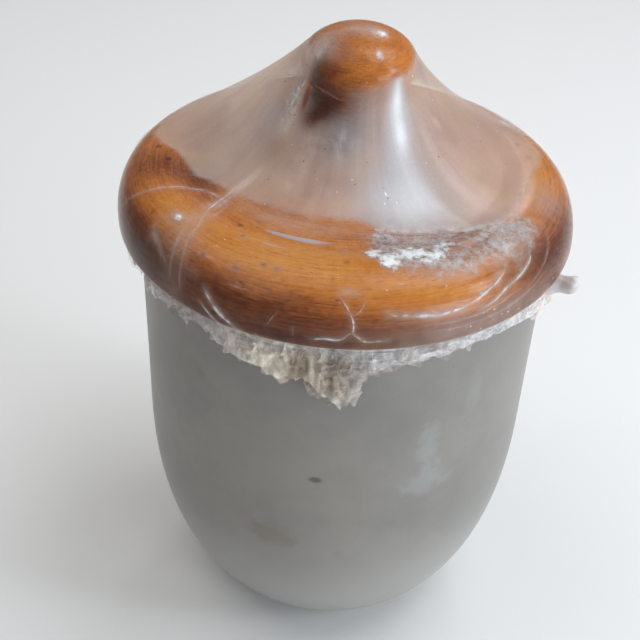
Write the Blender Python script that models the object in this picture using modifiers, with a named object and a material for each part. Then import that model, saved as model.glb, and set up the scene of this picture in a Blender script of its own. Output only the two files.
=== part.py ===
# A lidded stoneware pot: a round-bottomed jar, a loose lid with a knob, and the cling film
# that is stretched over the lid and gathered under its rim. Metres, +Z up.
# The origin is the centre of the flat foot, on the surface that the pot stands on.

import math

import bpy
from mathutils import Vector

# Jar: straight sides that turn into a full round bottom, cut flat for the foot
body_radius = 0.0520
body_height = 0.1187
wall = 0.0050
floor_thickness = 0.0060
foot_radius = 0.0290
bend_height = 0.0647  # where the straight side turns into the round bottom
bottom_sweep = 0.0427  # how far in from the side the round bottom reaches
bottom_roundness = 2.32  # exponent of the bottom's curve, where 2 is an ellipse
mouth_rounding = 0.0018
foot_rounding = 0.0012

# Lid: a fat rounded rim that overhangs the jar, a low top that sweeps up to the knob
seat_gap = 0.0003  # between the jar's mouth and the lid's underside
lid_overhang = 0.0027  # the rim's lower edge, outside the jar
rim_bulge = 0.0024  # the rim's widest line, outside its lower edge
rim_bulge_height = 0.0026
rim_shoulder = 0.0134  # from the widest line up to the crest
rim_width = 0.0130  # from the widest line in to the crest
rim_roundness = 2.37
rim_shift = 0.0007  # how far the hand-thrown rim drifts to the left as it rises
edge_rounding = 0.0009
valley_inset = 0.0062  # the low ring just inside the crest
valley_drop = 0.0010
neck_radius = 0.0108
neck_height = 0.0330  # the neck's narrowest place, above the lid's underside
neck_sweep = 0.0095  # how far the neck runs straight down before it spreads
valley_sweep = 0.0120  # how far the valley runs flat before it climbs
knob_radius = 0.0135
knob_half_height = 0.0085
knob_height = 0.0503  # the knob's top, above the lid's underside
knob_roundness = 2.11
knob_lean = 0.0010  # how far the knob stands off the axis, to the right
knob_underside_angle = math.radians(38)  # how far below its middle the knob turns into the neck
knob_tuck = 0.0016

# Locating ring under the lid, which drops into the jar's mouth, and the hollow inside it
ring_clearance = 0.0010
ring_thickness = 0.0040
ring_depth = 0.0090
ring_rounding = 0.0012
hollow_rise = 0.0100
hollow_roundness = 3.0

# Cling film: one sheet over the lid. The solid is thicker than the real film.
film_thickness = 0.0004
film_stand_off = 0.0009  # its corners outside the lid, so that its flats pass 0.3 mm off
hem_radius_gain = 0.0012  # the hem's inner face, outside the jar
hem_flare = 0.0006
hem_drop = 0.0050  # the gathered hem's usual depth under the lid's lower edge
fold_depth = 0.0004
fold_count = 13
fold_wander_count = 3
fold_turn_share = 0.35

# Depth of the hem round the lid, as shares of hem_drop. A tag hangs at the front and a
# lobe left of it. Azimuth 0 is +X and -90 is the front.
hem_drop_shares = (
    (-180, 1.1), (-158, 0.7), (-146, 0.45), (-134, 0.5), (-123, 0.8), (-113, 1.5),
    (-103, 2.05), (-98, 1.6), (-93, 2.7), (-88.6, 3.3), (-85, 2.6), (-81, 1.4), (-75, 1.05),
    (-66, 0.95), (-56, 0.8), (-45, 0.85), (-34, 1.1), (-23, 1.25), (-12, 0.9), (0, 0.8),
    (24, 1.05), (48, 0.75), (72, 1.0), (90, 1.4), (108, 0.9), (132, 1.0), (156, 1.25), (180, 1.1),
)

# Round the lid: how far above the knob's middle the film leaves it, in degrees
knob_leave_turns = (
    (-180, 31), (-160, 24), (-140, 8), (-120, -4), (-100, -6), (-70, -4), (-50, 2), (-30, 10),
    (-10, 18), (10, 20), (40, 26), (90, 30), (140, 32), (180, 31),
)
# Where it meets the lid again: a share of the shoulder's turn past the crest or, below zero,
# of the low top inside the crest
tent_foot_shares = (
    (-180, -0.02), (-170, -0.2), (-160, -0.27), (-148, -0.36), (-130, -0.43), (-110, -0.46),
    (-90, -0.45), (-76, -0.39), (-60, -0.28), (-50, -0.2), (-43, -0.08), (-28, 0.05), (-12, 0.0),
    (2, 0.15), (12, 0.3), (70, 0.4), (100, 0.37), (150, 0.38), (170, 0.3), (180, -0.02),
)
foot_step_share = 0.12  # from the foot to the film's next row, past the crest at least
upper_pull_share = 0.32
lower_pull_shares = (
    (-180, 0.2), (-150, 0.34), (-120, 0.42), (-90, 0.45), (-40, 0.42), (0, 0.32), (90, 0.25),
    (180, 0.2),
)

# Twisted end of the film, sticking out at the right under the rim
twist_azimuth = math.radians(-23)
twist_radius = 0.0021
twist_reach = 0.0084  # from the hem outwards
twist_height = 0.0030  # below the lid's lower edge, at its root
twist_droop = 0.0006
twist_turns = 0.4
twist_rings = 9
twist_waist_share = 0.45
twist_waist_place_share = 0.35
twist_bead_share = 0.9
twist_tip_share = 0.4

turn_steps = 60
film_widest_turn = 12  # degrees between two of the film's sections, at most
knob_step = math.radians(0.5)  # how far on along the knob its slope is read
most_corner_share = 0.45
merge_distance = 0.00001
full_turn = 2 * math.pi
quarter_turn = math.pi / 2

# Worked out from the sizes above
lid_base = body_height + seat_gap
rim_edge_radius = body_radius + lid_overhang
rim_radius = rim_edge_radius + rim_bulge
rim_middle = lid_base + rim_bulge_height
crest_radius = rim_radius - rim_width
crest_height = rim_middle + rim_shoulder
knob_middle = lid_base + knob_height - knob_half_height
ring_radius = body_radius - wall - ring_clearance
ring_bore = ring_radius - ring_thickness


def clear_scene():
    for old in list(bpy.data.objects):
        bpy.data.objects.remove(old, do_unlink=True)


def new_collection(name):
    made = bpy.data.collections.new(name)
    bpy.context.scene.collection.children.link(made)
    return made


def glaze(name, colour, roughness, alpha=1.0):
    made = bpy.data.materials.new(name)
    made.use_nodes = True
    shader = made.node_tree.nodes["Principled BSDF"]
    shader.inputs["Base Color"].default_value = (*colour, 1.0)
    shader.inputs["Roughness"].default_value = roughness
    shader.inputs["Metallic"].default_value = 0.0
    shader.inputs["Alpha"].default_value = alpha
    return made


def curve(middle, reach, first, last, steps, roundness=2.0):
    """Points on a superellipse round middle, from angle first to angle last, within a quarter."""
    points = []
    for step in range(steps + 1):
        angle = first + (last - first) * step / steps
        across = max(math.cos(angle), 0.0) ** (2 / roundness)
        along = max(math.sin(angle), 0.0) ** (2 / roundness)
        points.append((middle[0] + reach[0] * across, middle[1] + reach[1] * along))
    return points


def bezier(start, start_handle, end_handle, end, steps):
    """Points on a cubic curve, both ends included."""
    points = []
    for step in range(steps + 1):
        t = step / steps
        s = 1 - t
        weights = (s**3, 3 * s * s * t, 3 * s * t * t, t**3)
        corners = (start, start_handle, end_handle, end)
        points.append(tuple(sum(w * c[axis] for w, c in zip(weights, corners)) for axis in (0, 1)))
    return points


def rounded(before, corner, after, radius, steps=3):
    """Points that replace a sharp corner of a profile by a soft one."""
    ends = []
    for other in (before, after):
        length = math.dist(corner, other)
        share = min(radius / length, most_corner_share)
        ends.append(tuple(c + (o - c) * share for c, o in zip(corner, other)))
    return bezier(ends[0], corner, corner, ends[1], steps)


def moved_out(points, distance):
    """The same profile, each point moved along its own normal. Out is to the right of down."""
    moved = []
    for place, point in enumerate(points):
        before = points[max(place - 1, 0)]
        after = points[min(place + 1, len(points) - 1)]
        run, fall = after[0] - before[0], after[1] - before[1]
        length = math.hypot(run, fall)
        moved.append((point[0] - distance * fall / length, point[1] + distance * run / length))
    return moved


def above(points, height):
    """The part of a falling profile that lies above a height, with its last point on it."""
    kept = [points[0]]
    for before, after in zip(points, points[1:]):
        if after[1] <= height:
            share = (before[1] - height) / (before[1] - after[1])
            kept.append((before[0] + (after[0] - before[0]) * share, height))
            break
        kept.append(after)
    return kept


def value_at(table, azimuth):
    """The value at an azimuth in degrees, read between the two nearest in a table."""
    for (before, first), (after, last) in zip(table, table[1:]):
        if before <= azimuth <= after:
            blend = (azimuth - before) / (after - before)
            return first + (last - first) * blend


def profile_object(name, points, collection):
    mesh = bpy.data.meshes.new(name)
    edges = [(place, place + 1) for place in range(len(points) - 1)]
    mesh.from_pydata([(r, 0.0, z) for r, z in points], edges, [])
    made = bpy.data.objects.new(name, mesh)
    collection.objects.link(made)
    return made


def turned(name, points, steps, collection):
    """Turns a profile about Z and returns the object with the result as its plain mesh."""
    made = profile_object(name, points, collection)
    screw = made.modifiers.new("Turn", "SCREW")
    screw.axis = "Z"
    screw.angle = full_turn
    screw.steps = steps
    screw.render_steps = steps
    screw.use_merge_vertices = True
    screw.merge_threshold = merge_distance
    screw.use_smooth_shade = True
    return as_plain_mesh(made)


def as_plain_mesh(made):
    bpy.context.view_layer.update()
    evaluated = made.evaluated_get(bpy.context.evaluated_depsgraph_get())
    mesh = bpy.data.meshes.new_from_object(evaluated)
    mesh.name = made.name
    plain = bpy.data.objects.new(made.name + "_plain", mesh)
    plain.matrix_world = made.matrix_world
    for collection in made.users_collection:
        collection.objects.link(plain)
    name = made.name
    bpy.data.objects.remove(made, do_unlink=True)
    plain.name = name
    return plain


def finish(made, material, sharp_angle=math.radians(32)):
    made.data.materials.clear()
    made.data.materials.append(material)
    made.data.shade_smooth()
    made.data.set_sharp_from_angle(angle=sharp_angle)


# Jar

def jar_side():
    """The jar's outside, from the mouth down to the foot."""
    middle = (body_radius - bottom_sweep, bend_height)
    across = (foot_radius - middle[0]) / bottom_sweep
    along = (1 - across**bottom_roundness) ** (1 / bottom_roundness)
    reach = (bottom_sweep, -bend_height / along)
    foot_angle = math.acos(across ** (bottom_roundness / 2))
    return [(body_radius, body_height)] + curve(middle, reach, 0.0, foot_angle, 16, bottom_roundness)


def jar_profile():
    outside = jar_side()
    inside = above(moved_out(outside, -wall), floor_thickness)
    mouth_in = (inside[0][0], body_height)
    mouth_out = (body_radius, body_height)
    points = [(0.0, floor_thickness)]
    points += inside[:0:-1]
    points += rounded(inside[1], mouth_in, mouth_out, mouth_rounding)
    points += rounded(mouth_in, mouth_out, outside[1], mouth_rounding)
    points += outside[1:-1]
    points += rounded(outside[-2], (foot_radius, 0.0), (0.0, 0.0), foot_rounding, 2)
    points.append((0.0, 0.0))
    return points


def jar(collection):
    made = turned("pot_body", jar_profile(), turn_steps, collection)
    finish(made, glaze("grey_white_glaze", (0.42, 0.41, 0.39), 0.38))
    return made


# Lid

def knob_curve(first, last, steps):
    """The knob's outline between two angles above its middle."""
    points = []
    for step in range(steps + 1):
        angle = first + (last - first) * step / steps
        across = max(math.cos(angle), 0.0) ** (2 / knob_roundness)
        along = math.copysign(abs(math.sin(angle)) ** (2 / knob_roundness), angle)
        points.append((knob_radius * across, knob_middle + knob_half_height * along))
    return points


def lean(made):
    """Lets the rim drift to the left as it rises and the knob to the right, as on a thrown lid."""
    for vertex in made.data.vertices:
        rise = min(max((vertex.co.z - lid_base) / (crest_height - lid_base), 0.0), 1.0)
        share = min(max((vertex.co.z - crest_height) / (knob_middle - crest_height), 0.0), 1.0)
        vertex.co.x += knob_lean * share * share * (3 - 2 * share) - rim_shift * rise * (1 - share)


def shoulder_curve(steps, past_crest=0.0):
    """The rim's outline from a share of its turn past the crest down to its widest line."""
    middle = (crest_radius, rim_middle)
    reach = (rim_width, rim_shoulder)
    return curve(middle, reach, quarter_turn * (1 - past_crest), 0.0, steps, rim_roundness)


def bulge_curve(steps):
    """The rim's outline from its widest line down and in to its lower edge."""
    middle = (rim_edge_radius, rim_middle)
    return curve(middle, (rim_bulge, -rim_bulge_height), 0.0, quarter_turn, steps)


def neck_curve():
    """From under the knob, down the neck and out along the low top to the crest."""
    under = knob_curve(-knob_underside_angle, -knob_underside_angle, 1)[0]
    waist = (neck_radius, lid_base + neck_height)
    tuck = (under[0] - knob_tuck, under[1] - knob_tuck)
    waist_handle = (waist[0], (waist[1] + under[1]) / 2)
    valley = (crest_radius - valley_inset, crest_height - valley_drop)
    spread = (waist[0], waist[1] - neck_sweep)
    flat = (valley[0] - valley_sweep, valley[1])
    rise = (valley[0] + valley_inset / 2, valley[1])
    crest = (crest_radius, crest_height)
    crest_handle = (crest_radius - valley_inset / 3, crest_height)
    points = bezier(under, tuck, waist_handle, waist, 4)
    points += bezier(waist, spread, flat, valley, 7)[1:]
    points += bezier(valley, rise, crest_handle, crest, 3)[1:]
    return points


def underside():
    """From the rim's lower edge in over the seat, round the locating ring and up the hollow."""
    edge = (rim_edge_radius, lid_base)
    root = (ring_radius, lid_base)
    ring_bottom = lid_base - ring_depth
    outer_foot = (ring_radius, ring_bottom)
    inner_foot = (ring_bore, ring_bottom)
    hollow = curve((0.0, lid_base), (ring_bore, hollow_rise), 0.0, quarter_turn, 7, hollow_roundness)
    points = rounded(bulge_curve(4)[-2], edge, root, edge_rounding, 2)
    points += rounded(edge, root, outer_foot, ring_clearance, 2)
    points += rounded(root, outer_foot, inner_foot, ring_rounding)
    points += rounded(outer_foot, inner_foot, hollow[0], ring_rounding)
    points += hollow
    return points


def lid_profile():
    points = knob_curve(quarter_turn, -knob_underside_angle, 9)
    points += neck_curve()[1:]
    points += shoulder_curve(8)[1:]
    points += bulge_curve(4)[1:-1]
    points += underside()
    return points


def lid(collection):
    made = turned("lid", lid_profile(), turn_steps, collection)
    lean(made)
    finish(made, glaze("amber_glaze", (0.42, 0.15, 0.03), 0.22))
    return made


# Cling film

def low_top_height(radius):
    """The height of the lid's top inside the crest, at a radius outside the neck's waist."""
    for inner, outer in reversed(list(zip(neck_curve(), neck_curve()[1:]))):
        if inner[0] <= radius:
            blend = (radius - inner[0]) / (outer[0] - inner[0])
            return inner[1] + (outer[1] - inner[1]) * blend


def rim_run(foot, steps):
    """The lid's outline from the tent's foot to the rim's widest line."""
    rest = shoulder_curve(steps - 1, max(foot + foot_step_share, 0.0))
    if foot > 0:
        return shoulder_curve(1, foot)[:1] + rest
    radius = crest_radius + foot * (crest_radius - neck_radius)
    return [(radius, low_top_height(radius))] + rest


def tent_curve(leave, foot, onward, lower_pull, steps):
    """The film from the knob to its foot on the lid, both left out: it leaves along the knob's
    own curve and lands along the lid's."""
    start, next_place = (Vector(point) for point in knob_curve(leave, leave - knob_step, 1))
    foot, onward = Vector(foot), Vector(onward)
    reach = (foot - start).length
    handle = start + (next_place - start).normalized() * reach * upper_pull_share
    landing = foot - (onward - foot).normalized() * reach * lower_pull
    return bezier(start, handle, landing, foot, steps)[1:-1]


def film_section(azimuth):
    """The film's inner face at one azimuth in degrees, from the knob's top to the hem's edge."""
    leave = math.radians(value_at(knob_leave_turns, azimuth))
    rim = rim_run(value_at(tent_foot_shares, azimuth), 5)
    tent = tent_curve(leave, rim[0], rim[1], value_at(lower_pull_shares, azimuth), 4)
    cover = knob_curve(quarter_turn, leave, 3) + tent + rim + bulge_curve(2)[1:]
    cover = moved_out(cover, film_stand_off)
    turn = math.radians(azimuth)
    wander = fold_turn_share * math.sin(fold_wander_count * turn)
    fold = fold_depth * (1 + math.cos(fold_count * turn + wander))
    depth = hem_drop * value_at(hem_drop_shares, azimuth)
    hem_radius = body_radius + hem_radius_gain
    hem = [(hem_radius + fold / 2, lid_base - depth / 2)]
    hem.append((hem_radius + hem_flare + fold, lid_base - depth))
    return cover[1:] + hem


def film_azimuths():
    """The places of the hem's table, in degrees, with the wide turns between them split."""
    found = []
    for (before, _), (after, _) in zip(hem_drop_shares, hem_drop_shares[1:]):
        parts = math.ceil((after - before) / film_widest_turn)
        found += [before + (after - before) * part / parts for part in range(parts)]
    return found


def film_surface(collection):
    """Lofts the film's sections round the lid into one open surface that faces out."""
    azimuths = film_azimuths()
    sections = [film_section(azimuth) for azimuth in azimuths]
    rows = len(sections[0])
    points = [(0.0, 0.0, knob_middle + knob_half_height + film_stand_off)]
    for azimuth, section in zip(azimuths, sections):
        turn = math.radians(azimuth)
        points += [(r * math.cos(turn), r * math.sin(turn), z) for r, z in section]
    faces = []
    for column in range(len(azimuths)):
        here = 1 + column * rows
        beside = 1 + (column + 1) % len(azimuths) * rows
        faces.append((0, here, beside))
        faces += [(here + row, here + row + 1, beside + row + 1, beside + row) for row in range(rows - 1)]
    mesh = bpy.data.meshes.new("film_wrap")
    mesh.from_pydata(points, [], faces)
    made = bpy.data.objects.new("film_wrap", mesh)
    collection.objects.link(made)
    return made


def twisted_end(collection):
    """A short twisted tail of film: fat at its root, thin at its waist, and a bead near its tip."""
    path = bpy.data.curves.new("twisted_end", "CURVE")
    path.dimensions = "3D"
    path.bevel_depth = twist_radius
    path.bevel_resolution = 1
    path.use_fill_caps = True
    spline = path.splines.new("POLY")
    spline.points.add(twist_rings - 1)
    root = body_radius + hem_radius_gain + film_thickness / 2
    for ring, point in enumerate(spline.points):
        share = ring / (twist_rings - 1)
        radius = root + twist_reach * share
        height = lid_base - twist_height - twist_droop * math.sin(share * math.pi)
        x, y = radius * math.cos(twist_azimuth), radius * math.sin(twist_azimuth)
        point.co = (x, y, height, 1.0)
        if share < twist_waist_place_share:
            blend = share / twist_waist_place_share
            point.radius = 1 + (twist_waist_share - 1) * blend
        else:
            blend = (share - twist_waist_place_share) / (1 - twist_waist_place_share)
            ends = twist_waist_share + (twist_tip_share - twist_waist_share) * blend
            point.radius = ends + (twist_bead_share - ends) * math.sin(blend * math.pi)
        point.tilt = share * twist_turns * full_turn
    made = bpy.data.objects.new("twisted_end", path)
    collection.objects.link(made)
    plain = as_plain_mesh(made)
    weld = plain.modifiers.new("Weld caps", "WELD")
    weld.merge_threshold = merge_distance
    plain.hide_render = True
    plain.display_type = "WIRE"
    return plain


def film(collection, cutters):
    made = film_surface(collection)
    lean(made)
    finish(made, glaze("clear_film", (0.75, 0.74, 0.70), 0.15, 0.45), math.radians(60))
    shell = made.modifiers.new("Thickness", "SOLIDIFY")
    shell.thickness = film_thickness
    shell.offset = 1.0
    shell.use_even_offset = True
    join = made.modifiers.new("Twisted end", "BOOLEAN")
    join.operation = "UNION"
    join.solver = "EXACT"
    join.object = twisted_end(cutters)
    return made


clear_scene()
parts = new_collection("lidded_pot")
cutters = new_collection("cutters")
jar(parts)
lid(parts)
film(parts, cutters)
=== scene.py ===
# A lidded stoneware pot: a satin glazed jar, a knobbed lid in streaked amber glaze, and the
# cling film that is stretched over the lid and gathered under its rim. Metres, +Z up.
import math
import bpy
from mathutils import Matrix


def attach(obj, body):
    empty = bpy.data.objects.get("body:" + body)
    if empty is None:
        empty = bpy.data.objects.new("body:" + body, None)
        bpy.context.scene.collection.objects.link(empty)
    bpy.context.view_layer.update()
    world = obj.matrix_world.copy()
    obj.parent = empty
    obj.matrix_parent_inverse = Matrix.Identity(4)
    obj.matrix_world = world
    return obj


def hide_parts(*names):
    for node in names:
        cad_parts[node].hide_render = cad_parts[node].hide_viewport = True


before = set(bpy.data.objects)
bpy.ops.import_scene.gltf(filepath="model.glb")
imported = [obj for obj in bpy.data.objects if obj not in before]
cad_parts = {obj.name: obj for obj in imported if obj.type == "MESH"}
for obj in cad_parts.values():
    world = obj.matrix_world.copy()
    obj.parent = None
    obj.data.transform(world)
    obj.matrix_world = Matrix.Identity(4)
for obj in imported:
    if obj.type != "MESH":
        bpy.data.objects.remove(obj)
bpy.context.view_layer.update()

from types import SimpleNamespace

import bpy
import numpy as np
from mathutils import Matrix, Vector, noise

fullTurn = 2 * math.pi
quarterTurn = math.pi / 2
mm = 0.001


def addObject(name, data):
    made = bpy.data.objects.new(name, data)
    bpy.context.scene.collection.objects.link(made)
    return made


# Camera and lights

cameraValues = dict(
    place=(0.0, -0.24440, 0.26994),
    pitch=0.648896, roll=0.050528, yaw=-0.0212029,  # radians; the pitch is below the horizon
    lens=62.81, sensor=36.0, clipStart=0.01,
)


def makeCamera(v):
    fall, turn = v["pitch"], v["yaw"]
    ahead = Vector((math.sin(turn) * math.cos(fall), math.cos(turn) * math.cos(fall), -math.sin(fall)))
    right = ahead.cross(Vector((0, 0, 1))).normalized()
    up = right.cross(ahead)
    c, s = math.cos(v["roll"]), math.sin(v["roll"])
    right, up = right * c + up * s, up * c - right * s
    data = bpy.data.cameras.new("photoCamera")
    data.lens, data.sensor_width, data.sensor_height = v["lens"], v["sensor"], v["sensor"]
    data.clip_start = v["clipStart"]
    made = addObject("photoCamera", data)
    axes = Matrix((right, up, -ahead)).transposed()
    made.matrix_world = Matrix.Translation(Vector(v["place"])) @ axes.to_4x4()
    bpy.context.scene.camera = made


makeCamera(cameraValues)

lightValues = dict(
    roomColour=(0.97, 0.98, 1.0), roomStrength=0.24,
    aim=(0.0, 0.0, 0.11),
    # Each window: azimuth and height above the horizon in degrees, distance, width, height,
    # power and colour
    windows=dict(
        high=(12, 64, 1.00, 0.70, 0.70, 5.2, (0.94, 0.97, 1.0)),
        right=(-18, 25, 1.00, 0.16, 0.34, 2.1, (0.80, 0.91, 1.0)),
        low=(-38, 5, 1.00, 0.50, 0.40, 4.4, (0.88, 0.94, 1.0)),
        behind=(76, 34, 1.10, 0.20, 0.10, 0.8, (0.94, 0.97, 1.0)),
        left=(172, 70, 1.10, 0.80, 0.80, 3.0, (1.0, 0.96, 0.90)),
        spark=(178, 50, 1.10, 0.07, 0.07, 0.22, (1.0, 0.98, 0.95)),
    ),
)


def makeLights(v):
    world = bpy.data.worlds.new("room")
    world.use_nodes = True
    background = world.node_tree.nodes["Background"]
    background.inputs["Color"].default_value = (*v["roomColour"], 1.0)
    background.inputs["Strength"].default_value = v["roomStrength"]
    bpy.context.scene.world = world
    for name, (azimuth, height, distance, wide, tall, power, colour) in v["windows"].items():
        turn, rise = math.radians(azimuth), math.radians(height)
        out = Vector((math.cos(turn) * math.cos(rise), math.sin(turn) * math.cos(rise), math.sin(rise)))
        data = bpy.data.lights.new(name + "Window", "AREA")
        data.shape = "RECTANGLE"
        data.size, data.size_y = wide, tall
        data.energy = power
        data.color = colour
        made = addObject(name + "Window", data)
        made.location = Vector(v["aim"]) + out * distance
        made.rotation_euler = (-out).to_track_quat("-Z", "Y").to_euler()


makeLights(lightValues)
bpy.context.scene.view_settings.view_transform = "Standard"
print("camera and lights made")


# Shader maths: a socket that can be added, scaled and compared like a number

class Link:
    def __init__(self, paint, socket):
        self.paint, self.socket = paint, socket

    def maths(self, operation, *others):
        return self.paint.node("ShaderNodeMath", {"operation": operation}, [self, *others])

    def __add__(self, other):
        return self.maths("ADD", other)

    def __radd__(self, other):
        return self.maths("ADD", other)

    def __sub__(self, other):
        return self.maths("SUBTRACT", other)

    def __rsub__(self, other):
        return self.paint.node("ShaderNodeMath", {"operation": "SUBTRACT"}, [other, self])

    def __mul__(self, other):
        return self.maths("MULTIPLY", other)

    def __rmul__(self, other):
        return self.maths("MULTIPLY", other)

    def __truediv__(self, other):
        return self.maths("DIVIDE", other)

    def __abs__(self):
        return self.maths("ABSOLUTE")

    def least(self, other):
        return self.maths("MINIMUM", other)

    def most(self, other):
        return self.maths("MAXIMUM", other)

    def sway(self, share):
        # A noise taken about its middle, so that it pushes as much up as down
        return (self - 0.5) * share

    def fade(self, low, high):
        # 0 below low and 1 above high, smooth between, whichever of the two is larger
        values = {"Value": self, "From Min": low, "From Max": high}
        return self.paint.node("ShaderNodeMapRange", {"interpolation_type": "SMOOTHSTEP"}, values)


class Paint:
    # A material and its tree
    def __init__(self, name):
        self.material = bpy.data.materials.new(name)
        self.material.use_nodes = True
        self.tree = self.material.node_tree
        self.tree.nodes.clear()

    def node(self, kind, settings=None, values=None, out=0):
        made = self.tree.nodes.new(kind)
        for key, value in (settings or {}).items():
            if key == "stops":
                self.setStops(made.color_ramp, value)
            else:
                setattr(made, key, value)
        pairs = values.items() if isinstance(values, dict) else enumerate(values or ())
        for key, value in pairs:
            found = made.inputs[key] if isinstance(key, int) else self.named(made.inputs, key)
            if isinstance(value, Link):
                self.tree.links.new(value.socket, found)
            elif isinstance(value, tuple) and len(value) == 3 and len(found.default_value) == 4:
                found.default_value = (*value, 1.0)
            else:
                found.default_value = value
        if not made.outputs:
            return made
        return Link(self, self.named(made.outputs, out) if isinstance(out, str) else made.outputs[out])

    def named(self, sockets, name):
        return next((s for s in sockets if s.identifier == name), None) or sockets[name]

    def setStops(self, ramp, stops):
        while len(ramp.elements) < len(stops):
            ramp.elements.new(1.0)
        for element, (place, colour) in zip(ramp.elements, stops):
            element.position = place
            element.color = (*colour, 1.0)

    def place(self):
        return self.node("ShaderNodeTexCoord", out="Object")

    def axis(self, vector, letter):
        return self.node("ShaderNodeSeparateXYZ", values=[vector], out=letter)

    def field(self, name):
        return self.node("ShaderNodeAttribute", {"attribute_name": name}, out="Fac")

    def stretch(self, vector, scale):
        return self.node("ShaderNodeVectorMath", {"operation": "MULTIPLY"}, [vector, scale])

    def shift(self, vector, back):
        return self.node("ShaderNodeVectorMath", {"operation": "SUBTRACT"}, [vector, back])

    def distance(self, vector):
        return self.node("ShaderNodeVectorMath", {"operation": "LENGTH"}, [vector], "Value")

    def grain(self, vector, scale, detail=4.0, roughness=0.55, distortion=0.0):
        values = {"Vector": vector, "Scale": scale, "Detail": detail, "Roughness": roughness,
                  "Distortion": distortion}
        return self.node("ShaderNodeTexNoise", values=values)

    def grains(self, vector, rows):
        return {name: self.grain(vector, *row) for name, row in rows.items()}

    def streaks(self, place, along, rows, nearest=0.002):
        # Noises on a turned surface, stretched round it by the turns and down it by the rows. The
        # distance from the axis is held above the nearest one, so that the pole stays calm.
        radius = self.distance(self.stretch(place, (1, 1, 0)))
        away = radius.most(nearest)
        x, y = self.axis(place, "X"), self.axis(place, "Y")
        made = {}
        for name, (turns, down, *kind) in rows.items():
            values = [x / away * turns, y / away * turns, along * down]
            made[name] = self.grain(self.node("ShaderNodeCombineXYZ", values=values), 1.0, *kind)
        return made, radius

    def cells(self, vector, scale):
        return self.node("ShaderNodeTexVoronoi", {"feature": "F1"}, {"Vector": vector, "Scale": scale})

    def blend(self, share, first, second):
        settings = {"data_type": "RGBA", "blend_type": "MIX", "clamp_factor": True}
        values = {"Factor_Float": share, "A_Color": first, "B_Color": second}
        return self.node("ShaderNodeMix", settings, values, "Result_Color")

    def bump(self, height, strength):
        values = {"Strength": strength, "Distance": mm, "Height": height}
        return self.node("ShaderNodeBump", values=values)

    def surface(self, colour, roughness, level, bump=None):
        values = {"Base Color": colour, "Roughness": roughness, "Specular IOR Level": level}
        if bump:
            values["Normal"] = bump
        return self.node("ShaderNodeBsdfPrincipled", values=values)

    def finish(self, shader):
        self.node("ShaderNodeOutputMaterial", values={"Surface": shader})
        return self.material


# Profiles, as radius and height

def bent(corners, t):
    # A Bezier curve's place at t, from its end, two handles and other end
    s = 1 - t
    weights = (s**3, 3 * s * s * t, 3 * s * t * t, t**3)
    return sum(weight * corner for weight, corner in zip(weights, corners))


def superCurve(middle, reach, first, last, steps, roundness=2.0):
    points = []
    for step in range(steps + 1):
        angle = first + (last - first) * step / steps
        across = max(math.cos(angle), 0.0) ** (2 / roundness)
        along = max(math.sin(angle), 0.0) ** (2 / roundness)
        points.append((middle[0] + reach[0] * across, middle[1] + reach[1] * along))
    return points


def bezier(start, startHandle, endHandle, end, steps):
    corners = (start, startHandle, endHandle, end)
    return [tuple(bent([c[axis] for c in corners], step / steps) for axis in (0, 1))
            for step in range(steps + 1)]


def rounded(before, corner, after, radius, steps=6, most=0.45):
    # A corner takes at most that share of the straight run on either side
    ends = []
    for other in (before, after):
        share = min(radius / math.dist(corner, other), most)
        ends.append(tuple(c + (o - c) * share for c, o in zip(corner, other)))
    return bezier(ends[0], corner, corner, ends[1], steps)


def movedOut(points, distance):
    moved = []
    for place, point in enumerate(points):
        before = points[max(place - 1, 0)]
        after = points[min(place + 1, len(points) - 1)]
        run, fall = after[0] - before[0], after[1] - before[1]
        length = math.hypot(run, fall)
        moved.append((point[0] - distance * fall / length, point[1] + distance * run / length))
    return moved


def above(points, height):
    # The part of a falling line that stays above a height
    kept = [points[0]]
    for before, after in zip(points, points[1:]):
        if after[1] <= height:
            share = (before[1] - height) / (before[1] - after[1])
            kept.append((before[0] + (after[0] - before[0]) * share, height))
            break
        kept.append(after)
    return kept


def refined(points, spacing):
    # Splits long straight runs, so that a turned wall has rows to bend
    made = [points[0]]
    for before, after in zip(points, points[1:]):
        parts = max(1, round(math.dist(before, after) / spacing))
        for part in range(1, parts + 1):
            made.append(tuple(b + (a - b) * part / parts for b, a in zip(before, after)))
    return made


def lengths(points):
    # The length along a line at each of its points
    total, found = 0.0, [0.0]
    for before, after in zip(points, points[1:]):
        total += math.dist(before, after)
        found.append(total)
    return found


# Meshes, their points and the values that they carry for the materials

def newMesh(name, verts, faces, edges=()):
    mesh = bpy.data.meshes.new(name)
    mesh.from_pydata(verts, edges, faces)
    return mesh


def points(mesh):
    flat = np.empty(len(mesh.vertices) * 3)
    mesh.vertices.foreach_get("co", flat)
    return flat.reshape(-1, 3)


def movePoints(mesh, places):
    mesh.vertices.foreach_set("co", places.ravel())
    mesh.update()


def setField(mesh, name, values):
    field = mesh.attributes.get(name) or mesh.attributes.new(name, "FLOAT", "POINT")
    field.data.foreach_set("value", np.asarray(values, dtype=float).ravel())


def unit(vectors):
    return vectors / np.linalg.norm(vectors, axis=-1, keepdims=True)


def around(turn, reach, height):
    # Places at an angle, a distance from the axis and a height
    return np.stack([reach * np.cos(turn), reach * np.sin(turn), height + 0 * turn], -1)


def noiseOn(places, octaves=3):
    # Blender's own noise at every point of a grid of places
    found = [noise.fractal(Vector(p), 1.0, 2.0, octaves) for p in places.reshape(-1, 3)]
    return np.array(found).reshape(places.shape[:-1])


def ridgesOn(places, octaves=3):
    found = [noise.ridged_multi_fractal(Vector(p), 1.0, 2.1, octaves, 1.0, 2.0)
             for p in places.reshape(-1, 3)]
    return np.array(found).reshape(places.shape[:-1])


# Geometry Nodes

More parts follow.
